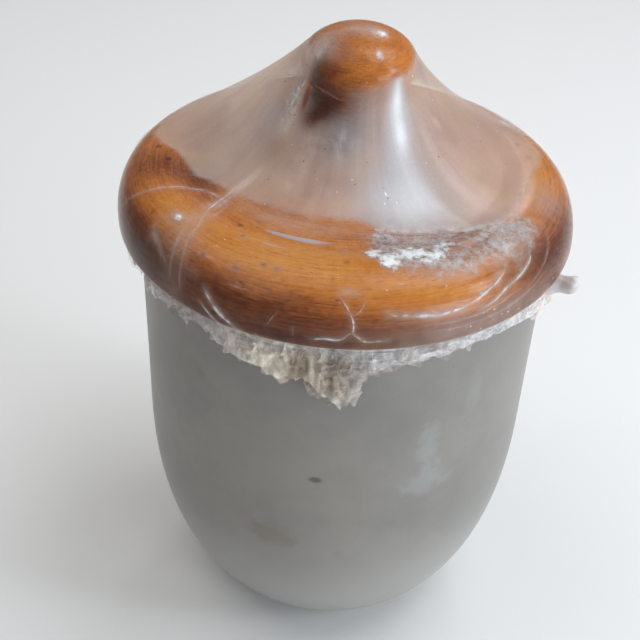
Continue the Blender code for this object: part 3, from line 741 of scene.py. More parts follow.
filmValues = dict(
    columns=720, gap=0.00010, knobRows=14, tentRows=40, rimRows=50, hemRows=22,
    finer=12, rimSteps=(300, 60),  # how finely the lid's outline under it is read
    even=7.0,  # degrees over which the tent's tables are evened out
    # Relief: pulls down the tent, crumpled film on the rim, pleats from the rim's underside on
    pullSpread=3.2, pullStep=0.02, pullRelief=0.00016,
    crumples=((430.0, 0.00012), (900.0, 0.00010)),
    pleatSpread=9.0, pleatStep=0.035, pleatRelief=0.00030, pleatFrom=79, pleatOver=5,
    # Hem: where it turns under the rim, then its own radius and flare
    hemTuck=0.0011, hemTuckDrop=0.0012, hemTurnDrop=0.0014, hemRadius=0.0529, hemFlare=0.0010,
    hemLean=0.06, hemUsual=0.005,  # how far a hem deeper than usual leans out
    hemLeast=0.0004,  # how far inside its radius it may crumple
    fraySpread=30, fray=0.10,
    hemPleatSpread=16, hemPleatStep=0.05, hemPleat=0.00055, hemCrumpleScale=380.0, hemCrumple=0.00030,
    wadCrumple=0.0013, hemRagged=0.0004,
    halo=0.5, haloShare=0.20,  # how far and how much the film whitens beside a fold
    spread=1.0,  # millimetres that its haze reaches past the line where it meets the lid
    milk=0.56,  # its haze everywhere
    mostMark=1.2,  # that the patches of one look add up to
    knobProbe=0.02, rimProbe=0.3,  # radians and millimetres to the places that give the lid's slope
    # The hem's lower edge below the lid's lower edge, millimetres. The tag hangs at the front.
    hemDepths=(
        (-180, 5), (-160, 3.2), (-144, 2), (-133, 2), (-126, 2.8), (-121.5, 4.2), (-119, 6.6),
        (-113, 7.6), (-107, 9), (-102.7, 10.2), (-99.5, 8.6), (-97.5, 8), (-95.5, 10.5), (-93, 13.6),
        (-90, 15.2), (-88.6, 17), (-87, 15.3), (-85, 13), (-82.8, 8.4), (-80, 6.2), (-75, 5.2),
        (-66, 4.7), (-57, 3.9), (-46, 4.1), (-33, 5.6), (-22, 6.2), (-10, 4.6), (-5, 3.8), (12, 5),
        (30, 3.6), (50, 5.8), (68, 4), (84, 7), (100, 4.2), (120, 5.6), (138, 3.6), (156, 6.4),
        (168, 4), (180, 5),
    ),
    # Round the lid: how far above the knob's middle the film leaves it, in degrees, the length at
    # which it meets the rim again, and the pull of the curve between at its upper and lower end
    knobLeave=(
        (-180, 31), (-160, 24), (-140, 8), (-120, -4), (-100, -6), (-70, -4), (-50, 2), (-30, 10),
        (-10, 18), (10, 20), (40, 26), (90, 30), (140, 32),
    ),
    rimTouch=(
        (-180, 54), (-176, 50.8), (-170, 49.3), (-163, 48.3), (-157.5, 45), (-149, 43.3), (-140, 42.4),
        (-130, 41), (-120, 40), (-110, 39.7), (-90, 40), (-82, 40.6), (-76, 42.2), (-70, 43.8),
        (-60, 46), (-50, 48.6), (-43, 52.5), (-37, 55), (-28, 56.2), (-20, 55.2), (-12, 54.8),
        (-5, 55.8), (2, 58), (12, 60.8), (45, 62.5), (70, 63), (100, 62), (130, 63), (150, 62.5),
        (170, 61), (176, 57.5),
    ),
    upperPull=(
        (-180, 0.35), (-140, 0.32), (-90, 0.34), (-40, 0.32), (0, 0.3), (90, 0.3), (150, 0.33),
    ),
    lowerPull=(
        (-180, 0.2), (-150, 0.34), (-120, 0.42), (-90, 0.45), (-40, 0.42), (0, 0.32), (90, 0.25),
        (150, 0.18),
    ),
    # Each look of the film, as soft patches: azimuth, length, half spans, amount
    places=dict(
        milk=(
            (-50, 40, 26, 12, 0.16), (170, 30, 34, 16, 0.34), (-138, 13.5, 9, 3, 0.2),
            (-160, 34, 24, 10, 0.1), (-128, 19, 24, 5, -0.34), (-106, 22, 16, 3, -0.2),
            (-100, 16, 34, 4, -0.2), (-112, 44, 34, 5, -0.12), (-105, 34, 30, 6, 0.04),
            (60, 35, 50, 18, 0.3), (120, 30, 50, 16, 0.26), (-52, 23, 10, 9, 0.16),
            (-26, 34, 16, 12, -0.1), (-18, 50, 12, 5, -0.2), (16, 48, 22, 10, -0.16),
            (-88, 23, 12, 4.5, -0.14),
        ),
        # Veil whitens the film; at (-140, 59.5) and (-141, 66.4) it is a painted halo round the highlights
        # there
        veil=(
            (-152, 9.5, 26, 5, 0.38), (-25, 4.5, 34, 2, 0.3), (-90, 1, 180, 3, 0.34),
            (-95, 17.2, 26, 1.4, -0.1), (-34, 68, 11, 5, 0.02), (-56, 75.5, 22, 4, 0.3),
            (-16, 61, 10, 7, 0.22), (-112, 43.5, 28, 3.4, 0.26), (-145, 41, 2.5, 3.5, 0.25),
            (-141.5, 48, 3, 4, 0.28), (-136, 55, 3.5, 4, 0.26), (-132.5, 63, 4.5, 5, 0.2),
            (-130.5, 71, 3, 6, 0.08), (-140, 59.5, 4.2, 2.6, 0.26), (-141, 66.4, 3.4, 2, 0.2),
            (-126, 68.4, 3, 1.6, 0.14), (-150, 17.5, 9, 4.5, 0.45), (-150, 13, 22, 3, 0.4),
            (-146, 24, 5, 4, 0.25), (-139.5, 21.4, 2.6, 2.4, 0.5), (-87, 64.6, 2.6, 0.9, 0.35),
            (-110, 66, 10, 2, 0.08), (-42, 64, 12, 4, 0.06), (40, 66, 16, 6, 0.16),
            (150, 60, 20, 6, 0.16),
        ),
        # Painted reflections of the back window: the thin sliver along length 48 and the short grey slivers
        # below it
        flake=(
            (-105.5, 48.4, 14.5, 0.95, 1), (-110, 54.6, 6.5, 0.9, 0.66), (-113, 52.6, 4, 0.6, 0.6),
            (-106, 56.6, 4, 0.6, 0.55), (-75, 63, 2.5, 0.6, 0.6), (-113, 67.5, 6, 0.8, 0.55),
            (-55.5, 68.7, 1.3, 0.7, 0.9), (-99, 62.5, 3, 0.6, 0.5),
        ),
        # Darker film at the foot of the neck, and small dark dots on the rim and at the back
        dirt=(
            (-107, 27.4, 20, 2.4, 0.42), (-98, 27.8, 12, 2, 0.25), (-127, 28.2, 8, 1.6, 0.22),
            (-112, 36, 5, 1.3, 0.3), (-126, 33, 8, 1.2, 0.18), (-89, 51.7, 1.4, 0.8, 1),
            (-119.9, 54.5, 1.2, 0.7, 1.2), (-124.8, 63.8, 1, 0.7, 1.2), (-115.4, 63.6, 1.2, 0.7, 1.2),
            (-109.1, 61, 1.1, 0.6, 1.2), (-105.3, 61.3, 1, 0.6, 1.2), (90, 33, 18, 4, 0.3),
        ),
        # Painted shade of the lid's neck seen through the film, left of and below the knob at lengths 16 to
        # 25, and brown patches elsewhere on the tent and rim
        rust=(
            (6, 36, 24, 16, 0.36), (-130, 24.6, 8, 1.8, 0.7), (-139.5, 21.4, 3, 2.6, 0.9),
            (-120, 22.7, 9, 1.8, 0.8), (-106, 21, 10, 1.6, 0.7), (-132, 19, 22, 5, 0.5),
            (-106, 16.5, 28, 3, 0.6), (-118, 41, 22, 3, 0.14), (-96, 34, 18, 3, 0.25),
            (-146, 32, 9, 3, 0.25), (-22, 66, 12, 6, 0.5), (-30, 71, 12, 4, 0.6),
        ),
        tea=(
            (-98, 87, 3.4, 4.5, 1), (-90, 90, 6, 7, 0.95),
        ),
        # A bluish grey: partly the film's own tint, partly painted sheen of the windows on the knob's top,
        # along the neck's streak and on the rim's right front
        cool=(
            (-90, 0, 360, 4.6, 0.9), (-52, 38, 22, 14, 0.8), (-50, 24, 10, 10, 1),
            (-100, 25, 18, 4, 0.5), (80, 40, 50, 14, 0.5), (-87, 23, 14, 6, 0.8),
            (-158, 27, 12, 6, 0.45), (-70, 39, 20, 6, 0.95), (-16, 61, 10, 7, 0.9),
        ),
        # Crumpled film where the windows' reflection is painted as a silvery tone; the same patches also
        # raise the crumples and bumps
        silver=(
            (-77, 51, 6, 7, 0.75), (-68, 54.5, 8, 8, 0.75), (-57, 56.5, 8, 7.5, 0.8),
            (-45, 57.5, 8, 6.2, 0.84), (-34, 59.5, 7, 5.2, 0.84), (-72, 46, 8, 2.6, 0.28),
            (-54, 49.5, 10, 3, 0.3), (-149, 23, 6, 4.5, 0.6), (-140, 12, 8, 3, 0.4),
            (-141, 59.5, 3, 2.4, 0.4), (30, 60, 12, 4, 0.5), (118, 60, 16, 5, 0.6),
        ),
        shine=(
            (-22, 5.4, 18, 1.5, 1), (-65, 10.4, 8, 1.6, 1), (-80, 52.5, 2.8, 2.8, 0.95),
            (-76.5, 57, 3, 2.8, 1), (-68.5, 54, 5, 3, 1.05), (-63, 57.4, 3.6, 2, 0.75),
            (-57, 54.6, 4, 2.2, 0.55), (-140, 59.5, 2.2, 1.4, 0.9), (-142.6, 65.3, 1.3, 1.1, 0.55),
            (-149, 22.5, 3, 3.5, 0.75), (-66.3, 36.6, 0.5, 0.3, 0.9),
        ),
        glow=(
            (-49, 20, 5.5, 4, 0.85), (-47.3, 27.5, 4.5, 3, 0.8), (-50, 38, 12, 7, 0.1),
            (-62, 43, 16, 5, 0.26),
        ),
        wad=(
            (-107, 86.5, 9, 4, 1), (-101, 89, 4, 3, 1), (-95, 88, 4, 4, 0.6),
            (-89.5, 93.5, 4.5, 5, 0.5), (-24, 86, 12, 6, 0.4), (84, 88, 10, 5, 0.7),
            (156, 88, 9, 5, 0.5),
        ),
    ),
    haze=(0.76, 0.580, 0.495), coolHaze=(0.66, 0.68, 0.72), ochre=(0.78, 0.62, 0.45),
    dirt=(0.085, 0.080, 0.095), rust=(0.185, 0.080, 0.065), wad=(0.96, 0.86, 0.68),
    # dullSilver and silver on the next line colour the painted reflection on the crumpled film
    tea=(0.30, 0.215, 0.135), dullSilver=(0.25, 0.175, 0.165), silver=(0.54, 0.57, 0.61),
    # shine and fold on the next line: the colours of the painted highlights and of the painted glints on the
    # folds
    shine=(0.93, 0.97, 1.0), fold=(0.86, 0.88, 0.92), hem=(0.96, 0.96, 0.96), glossColour=(0.95, 0.97, 1.0),
    gloss=0.12, milkGloss=0.40, reflection=0.5, relief=0.55, mirrorIndex=1.22, mirror=4.0, mostMirror=0.5,
    mostHaze=0.96,
    # Noises: scale, detail, roughness, distortion
    noises=dict(ragged=(260.0, 5.0, 0.6), coarse=(150.0, 4.0, 0.65), cloud=(45.0, 4.0, 0.55),
                fine=(1300.0, 4.0, 0.6), worn=(560.0, 6.0, 0.75), wrinkle=(700.0, 5.0, 0.62, 0.6),
                fleckThinning=(55.0, 2.0), speckThinning=(38.0, 2.0)),
    # Noises round the lid: turns, rows, detail, roughness, distortion. Pull, drift and strand run
    # down the tent, sweep runs round the hem.
    streaks=dict(pull=(14.0, 0.06, 2.0, 0.5), drift=(3.6, 0.040, 3.0, 0.5),
                 strand=(18.0, 0.10, 3.0, 0.5, 0.4), sweep=(8.0, 0.90, 4.0, 0.6, 0.8)),
    # Cells, as scales: flecks are light dots, specks dark ones, facets break up the hem
    fleckScale=430.0, speckScale=360.0, facetScale=420.0,
    # Where each mask begins and where it is full
    fades=dict(strand=(0.022, 0.0), sweep=(0.030, 0.0), edge=(-0.8, 1.7), tent=(0.0, 9.0),
               worked=(0.15, 0.75), shine=(0.20, 0.80), shineEdge=(0.0, 0.25), flake=(0.32, 0.72),
               flakeTone=(0.42, 0.60), foldGap=(0.34, 0.60), crease=(0.0, 0.80), creaseTone=(0.1, 0.6),
               fleck=(0.10, 0.05), fleckThinning=(0.53, 0.64), speck=(0.11, 0.05), speckThinning=(0.48, 0.62),
               metal=(0.28, 0.62), grime=(0.30, 0.66), ochre=(0.47, 0.66), rusty=(0.47, 0.33)),
    # How much haze each look adds
    worked=0.90, shining=0.75, glowing=0.30, darkPatchHaze=0.35, raggedSliverSheen=0.55, dotted=0.6,
)


def wave(table, azimuth, even=0.0):
    # A table of azimuth and value read all the way round, and evened out over some degrees
    steps = [place for place, value in table]
    values = [value for place, value in table]
    total, weight = 0.0, 0.0
    for offset in np.linspace(-2, 2, 17):
        turn = (azimuth + offset * even - steps[0]) % 360 + steps[0]
        share = math.exp(-offset * offset / 2)
        total = total + share * np.interp(turn, steps + [steps[0] + 360], values + [values[0]])
        weight += share
    return total / weight


def rimRun(v, size):
    # The lid's outline from under the knob down to the rim's lower edge, and the lengths along it
    inside = neckCurve(size, v["finer"])
    line = inside + rimCurve(size, *v["rimSteps"])[1:]
    run = np.array(lengths(line)) / mm
    return np.array(line), run - run[len(inside) - 1] + filmCrest


def filmCover(v, size, azimuth):
    # The film's run over the lid at each azimuth, as rows of radius and height with their lengths:
    # over the knob to where it leaves it, then the tent, then down the rim from where it meets it
    leave = np.radians(wave(v["knobLeave"], azimuth, v["even"]))
    meet = wave(v["rimTouch"], azimuth, v["even"])
    share = np.arange(1, v["knobRows"] + 1)[:, None] / v["knobRows"]
    knob = knobPoint(size, quarterTurn + (leave - quarterTurn) * share)
    fromTop = np.concatenate([np.broadcast_to(knobPoint(size, quarterTurn), knob[:1].shape), knob])
    knobLength = np.cumsum(np.linalg.norm(np.diff(fromTop, axis=0), axis=-1), 0) / mm
    line, run = rimRun(v, size)

    def rimPoint(length):
        return np.stack([np.interp(length, run, line[:, c]) for c in (0, 1)], -1)

    start, end = knob[-1], rimPoint(meet)
    far = np.linalg.norm(end - start, axis=-1, keepdims=True)
    first = unit(knobPoint(size, leave - v["knobProbe"]) - start) * far
    final = unit(rimPoint(meet + v["rimProbe"]) - rimPoint(meet - v["rimProbe"])) * far
    first = first * wave(v["upperPull"], azimuth, v["even"])[:, None]
    final = final * wave(v["lowerPull"], azimuth, v["even"])[:, None]
    t = (np.arange(v["tentRows"] + 1) / v["tentRows"])[:, None, None]
    tent = bent((start, start + first, end - final, end), t)
    # The film never dips under the lid's low top
    top = line[(run <= filmCrest) & (line[:, 0] > size["neckRadius"] + mm)]
    inside = (tent[..., 0] > top[0, 0]) & (tent[..., 0] < crestRadius)
    lidHeight = np.interp(tent[..., 0], top[:, 0], top[:, 1])
    tent[..., 1] = np.where(inside, np.maximum(tent[..., 1], lidHeight), tent[..., 1])
    tentLength = np.cumsum(np.linalg.norm(np.diff(tent, axis=0), axis=-1), 0)
    tentLength = knobLength[-1] + tentLength / tentLength[-1] * (meet - knobLength[-1])
    rimLength = meet + (run[-1] - meet) * np.arange(1, v["rimRows"] + 1)[:, None] / v["rimRows"]
    cover = np.concatenate([knob, tent[1:], rimPoint(rimLength)])
    return cover, np.concatenate([knobLength, tentLength, rimLength]), knobLength[-1]


def filmTop(v, azimuth, length, cover, knobEnd):
    # The film over the lid, standing off the lid's outline, and how far each point is gathered
    r, z = cover[..., 0], cover[..., 1]
    across, down = np.gradient(r, axis=0), np.gradient(z, axis=0)
    run = np.hypot(across, down)
    turn = np.radians(azimuth)
    share = np.clip((length - knobEnd) / (wave(v["rimTouch"], azimuth) - knobEnd), 0, 1)
    silver = np.clip(patches(azimuth, length, v["places"]["silver"]), 0, 1)
    laid = around(turn, r, z)
    off = np.full(length.shape, v["gap"])
    pulls = noiseOn(around(turn, v["pullSpread"], length * v["pullStep"]), 2)
    off += np.sin(share * math.pi) * pulls * v["pullRelief"]
    off += silver * sum(relief * ridgesOn(laid * scale) for scale, relief in v["crumples"])
    gathered = np.clip((length - v["pleatFrom"]) / v["pleatOver"], 0, 1)
    off += gathered * v["pleatRelief"] * ridgesOn(around(turn, v["pleatSpread"], length * v["pleatStep"]))
    return laid + around(turn, off * (-down / run), off * (across / run)), gathered


def filmHem(v, size, azimuth, edge, edgeLength):
    # Rows that hang from the film's last row, their lengths, and how wadded they are
    turn = np.radians(azimuth)
    depth = wave(v["hemDepths"], azimuth) * mm
    depth = depth * (1 + v["fray"] * noiseOn(around(turn, v["fraySpread"], 0.0)))
    edgeRadius, edgeHeight = np.hypot(edge[:, 0], edge[:, 1]), edge[:, 2]
    t = (np.arange(1, v["hemRows"] + 1) / v["hemRows"])[:, None]
    lowest = v["hemRadius"] + v["hemFlare"] + v["hemLean"] * (depth - v["hemUsual"])
    radius = bent((edgeRadius, edgeRadius - v["hemTuck"], v["hemRadius"], lowest), t)
    tuck, bend = edgeHeight - v["hemTuckDrop"], edgeHeight - v["hemTurnDrop"]
    height = bent((edgeHeight, tuck, bend, size["base"] - depth), t)
    length = edgeLength + lengthsDown(radius, height, edgeRadius, edgeHeight) / mm
    azimuth, turn = np.broadcast_to(azimuth, radius.shape), np.broadcast_to(turn, radius.shape)
    wad = np.clip(patches(azimuth, length, v["places"]["wad"]), 0, 1)
    pleats = ridgesOn(around(turn, v["hemPleatSpread"], length * v["hemPleatStep"]))
    crumple = ridgesOn(around(turn, radius, height) * v["hemCrumpleScale"])
    swell = t * (v["hemPleat"] * pleats + (v["hemCrumple"] + v["wadCrumple"] * wad) * crumple)
    radius = np.maximum(radius + swell, v["hemRadius"] - v["hemLeast"])
    return around(turn, radius, height + v["hemRagged"] * t * (crumple - 1.0)), length, wad


def lengthsDown(radius, height, firstRadius, firstHeight):
    # Length from the first row down each column
    across, down = np.vstack([firstRadius, radius]), np.vstack([firstHeight, height])
    return np.cumsum(np.hypot(np.diff(across, axis=0), np.diff(down, axis=0)), axis=0)


def gridFaces(rows, columns):
    # Quads of a grid that closes on itself across, wound to face out when rows run downwards
    faces = []
    for row in range(rows - 1):
        for column in range(columns):
            a, b = row * columns + column, row * columns + (column + 1) % columns
            faces.append((a, a + columns, b + columns, b))
    return faces


def makeFilm(v, size, folds):
    azimuth = np.linspace(-180, 180, v["columns"], endpoint=False)
    cover, length, knobEnd = filmCover(v, size, azimuth)
    azimuths = np.broadcast_to(azimuth, length.shape)
    laid, gathered = filmTop(v, azimuths, length, cover, knobEnd)
    hem, hemLength, wad = filmHem(v, size, azimuth, laid[-1], length[-1, 0])
    grid, length = np.concatenate([laid, hem]), np.vstack([length, hemLength])
    azimuths = np.broadcast_to(azimuth, length.shape)
    top = (0.0, 0.0, knobMiddle + size["knobHalfHeight"] + v["gap"])
    halo = nearFolds(azimuths, length, np.hypot(grid[..., 0], grid[..., 1]), folds, v["halo"])
    verts = leaned(np.vstack([grid.reshape(-1, 3), [top]]), size)
    pole = len(verts) - 1
    faces = gridFaces(len(grid), v["columns"])
    faces += [(pole, column, (column + 1) % v["columns"]) for column in range(v["columns"])]
    mesh = newMesh("clingFilm", verts.tolist(), faces)
    mesh.shade_smooth()

    touch = wave(v["rimTouch"], azimuths) + v["spread"] - length
    looks = {name: patches(azimuths, length, places) for name, places in v["places"].items()}
    for name in ("dirt", "rust", "tea", "cool", "silver", "shine", "glow"):
        looks[name] = np.clip(looks[name], 0, v["mostMark"])
    looks.update(
        touch=np.minimum(touch, length - knobEnd + v["spread"]), along=length,
        milk=v["milk"] + looks["milk"], veil=looks["veil"] + v["haloShare"] * halo,
        hem=np.vstack([gathered, np.ones_like(wad)]), wad=np.vstack([np.zeros_like(gathered), wad]))
    poleLooks = dict(touch=-10.0, milk=0.5, veil=0.2)
    for name, values in looks.items():
        setField(mesh, name, np.append(values.ravel(), poleLooks.get(name, 0.0)))
    return addObject("clingFilm", mesh), (verts[:-1].reshape(grid.shape), length)


def nearFolds(azimuth, length, radius, folds, reach, stepsPerPoint=5):
    # A soft whitening of the film on both sides of every fold
    perDegree = radius / mm * math.radians(1)
    total = np.zeros_like(length)
    for corners, height, width, white in folds:
        for a, s in smoothLine(corners, stepsPerPoint):
            far = np.hypot((azimuth - a) * perDegree, length - s) / (reach + width)
            total = np.maximum(total, white * np.exp(-far * far))
    return total


def filmMaterial(v):
    paint, fades = Paint("clingFilm"), v["fades"]
    place = paint.place()
    touch, along, milk, veil, flake, dirt, rust, tea, cool, silver, shine, glow, hem, wad, fold = map(
        paint.field, ("touch", "along", "milk", "veil", "flake", "dirt", "rust", "tea", "cool", "silver",
                      "shine", "glow", "hem", "wad", "fold"))
    streaks, radius = paint.streaks(place, along, v["streaks"])
    n = SimpleNamespace(**paint.grains(place, v["noises"]), **streaks)

    # Thin bright threads where a noise crosses its middle
    glint = abs(n.strand - 0.5).fade(*fades["strand"]).most(abs(n.sweep - 0.5).fade(*fades["sweep"]))
    # Haze: how much the film hides of what is under it, on the tent and off it, then each look
    edge = (touch + n.ragged.sway(silver * 2.4 + 1.0) + n.coarse.sway(3.4)).fade(*fades["edge"])
    inTent = milk * (n.cloud.sway(0.40) + n.pull.sway(0.16) + n.fine.sway(0.22) + 1.0)
    inTent = inTent * (touch.fade(*fades["tent"]) * 0.26 + 0.74)
    offTent = (n.cloud - 0.52).most(0.0) * 0.30 + 0.015
    haze = edge * inTent + (1 - edge) * offTent
    haze = haze + veil.most(0.0) * (n.ragged.sway(1.6) + 1.0)
    worked = (n.worn.sway(1.8) + n.coarse.sway(0.9) + 0.54).most(0.10).least(0.90)
    haze = haze + worked * (silver + n.coarse.sway(1.0)).fade(*fades["worked"]) * v["worked"]
    crumpled = n.worn.sway(1.5) + n.coarse.sway(0.8)
    bright = (shine * 0.66 + crumpled * 0.9).fade(*fades["shine"]) * shine.fade(*fades["shineEdge"])
    haze = haze + bright * v["shining"] + glow * v["glowing"] + dirt * v["darkPatchHaze"]
    # Painted reflection slivers on the rim
    raggedSliverSheen = flake + n.ragged.sway(0.5)
    haze = haze + raggedSliverSheen.fade(*fades["flake"]) * v["raggedSliverSheen"]
    haze = haze + fold * (0.35 + 0.65 * n.ragged.fade(*fades["foldGap"]))
    creased = n.sweep.sway(1.5) + n.ragged.sway(1.3)
    haze = haze + hem * ((creased + 0.30).fade(*fades["crease"]) * 0.55 + 0.28 + glint * 0.3)
    haze = haze + wad * (n.ragged * 0.6 + 0.34)
    flecks, specks = [
        paint.cells(place, v[name + "Scale"]).fade(*fades[name]) * thinning.fade(*fades[name + "Thinning"])
        for name, thinning in (("fleck", n.fleckThinning), ("speck", n.speckThinning))]
    haze = (haze + (flecks + specks) * v["dotted"]).most(0.0).least(v["mostHaze"])

    # Colours, each laid over the last
    # The painted reflection on the crumpled film, dull between its bright parts
    worn = (n.wrinkle + n.cloud * 0.6 - 0.3).fade(*fades["metal"])
    metal = paint.blend(worn, v["dullSilver"], v["silver"])
    hemTone = paint.blend((creased + 0.2).fade(*fades["creaseTone"]), v["coolHaze"], v["hem"])
    grime = dirt * (n.ragged.fade(*fades["grime"]) * 0.7 + 0.3) + specks * edge * (1 - dirt)
    tone = v["haze"]
    for share, colour in (
        (n.drift.fade(*fades["ochre"]) * 0.60, v["ochre"]),
        (n.drift.fade(*fades["rusty"]) * 0.14, v["rust"]),
        # Bluish tint, partly painted window sheen
        (cool, v["coolHaze"]),
        (raggedSliverSheen.fade(*fades["flakeTone"]), v["silver"]),
        # Painted reflection on the crumpled film
        (silver, metal),
        (hem * 0.8, hemTone),
        (wad * 0.8, v["wad"]),
        (tea * (n.ragged * 0.5 + 0.55), v["tea"]),
        # Painted shade of the neck under the film, and brown patches
        (rust * (n.pull * 0.6 + 0.7), v["rust"]),
        # Dark patches, and dark specks
        (grime, v["dirt"]),
        (bright.most(flecks * 0.8).most(glow), v["shine"]),
        # Painted glints along the folds' crests
        (fold, v["fold"]),
    ):
        tone = paint.blend(share, tone, colour)

    facets = paint.cells(place, v["facetScale"])
    height = n.wrinkle * (silver * 0.6 + hem * 0.25 + 0.003) + n.worn * (silver * 0.3) + facets * hem * 0.6
    height = height + n.ragged * hem * 1.2 + n.coarse * 0.10 + n.pull * 0.12
    bump = paint.bump(height, v["relief"])
    milky = paint.surface(tone, v["milkGloss"], v["reflection"], bump)
    # Where it is clear, only the hem mirrors the room
    bare = paint.node("ShaderNodeBsdfTransparent")
    gloss = paint.node("ShaderNodeBsdfGlossy", values={
        "Color": v["glossColour"], "Roughness": v["gloss"], "Normal": bump})
    mirror = paint.node("ShaderNodeFresnel", values={"IOR": v["mirrorIndex"], "Normal": bump})
    mirror = (mirror * hem * v["mirror"]).least(v["mostMirror"])
    clear = paint.node("ShaderNodeMixShader", values=[mirror, bare, gloss])
    return paint.finish(paint.node("ShaderNodeMixShader", values=[haze, clear, milky]))


# Sharp folds pinched up out of the film

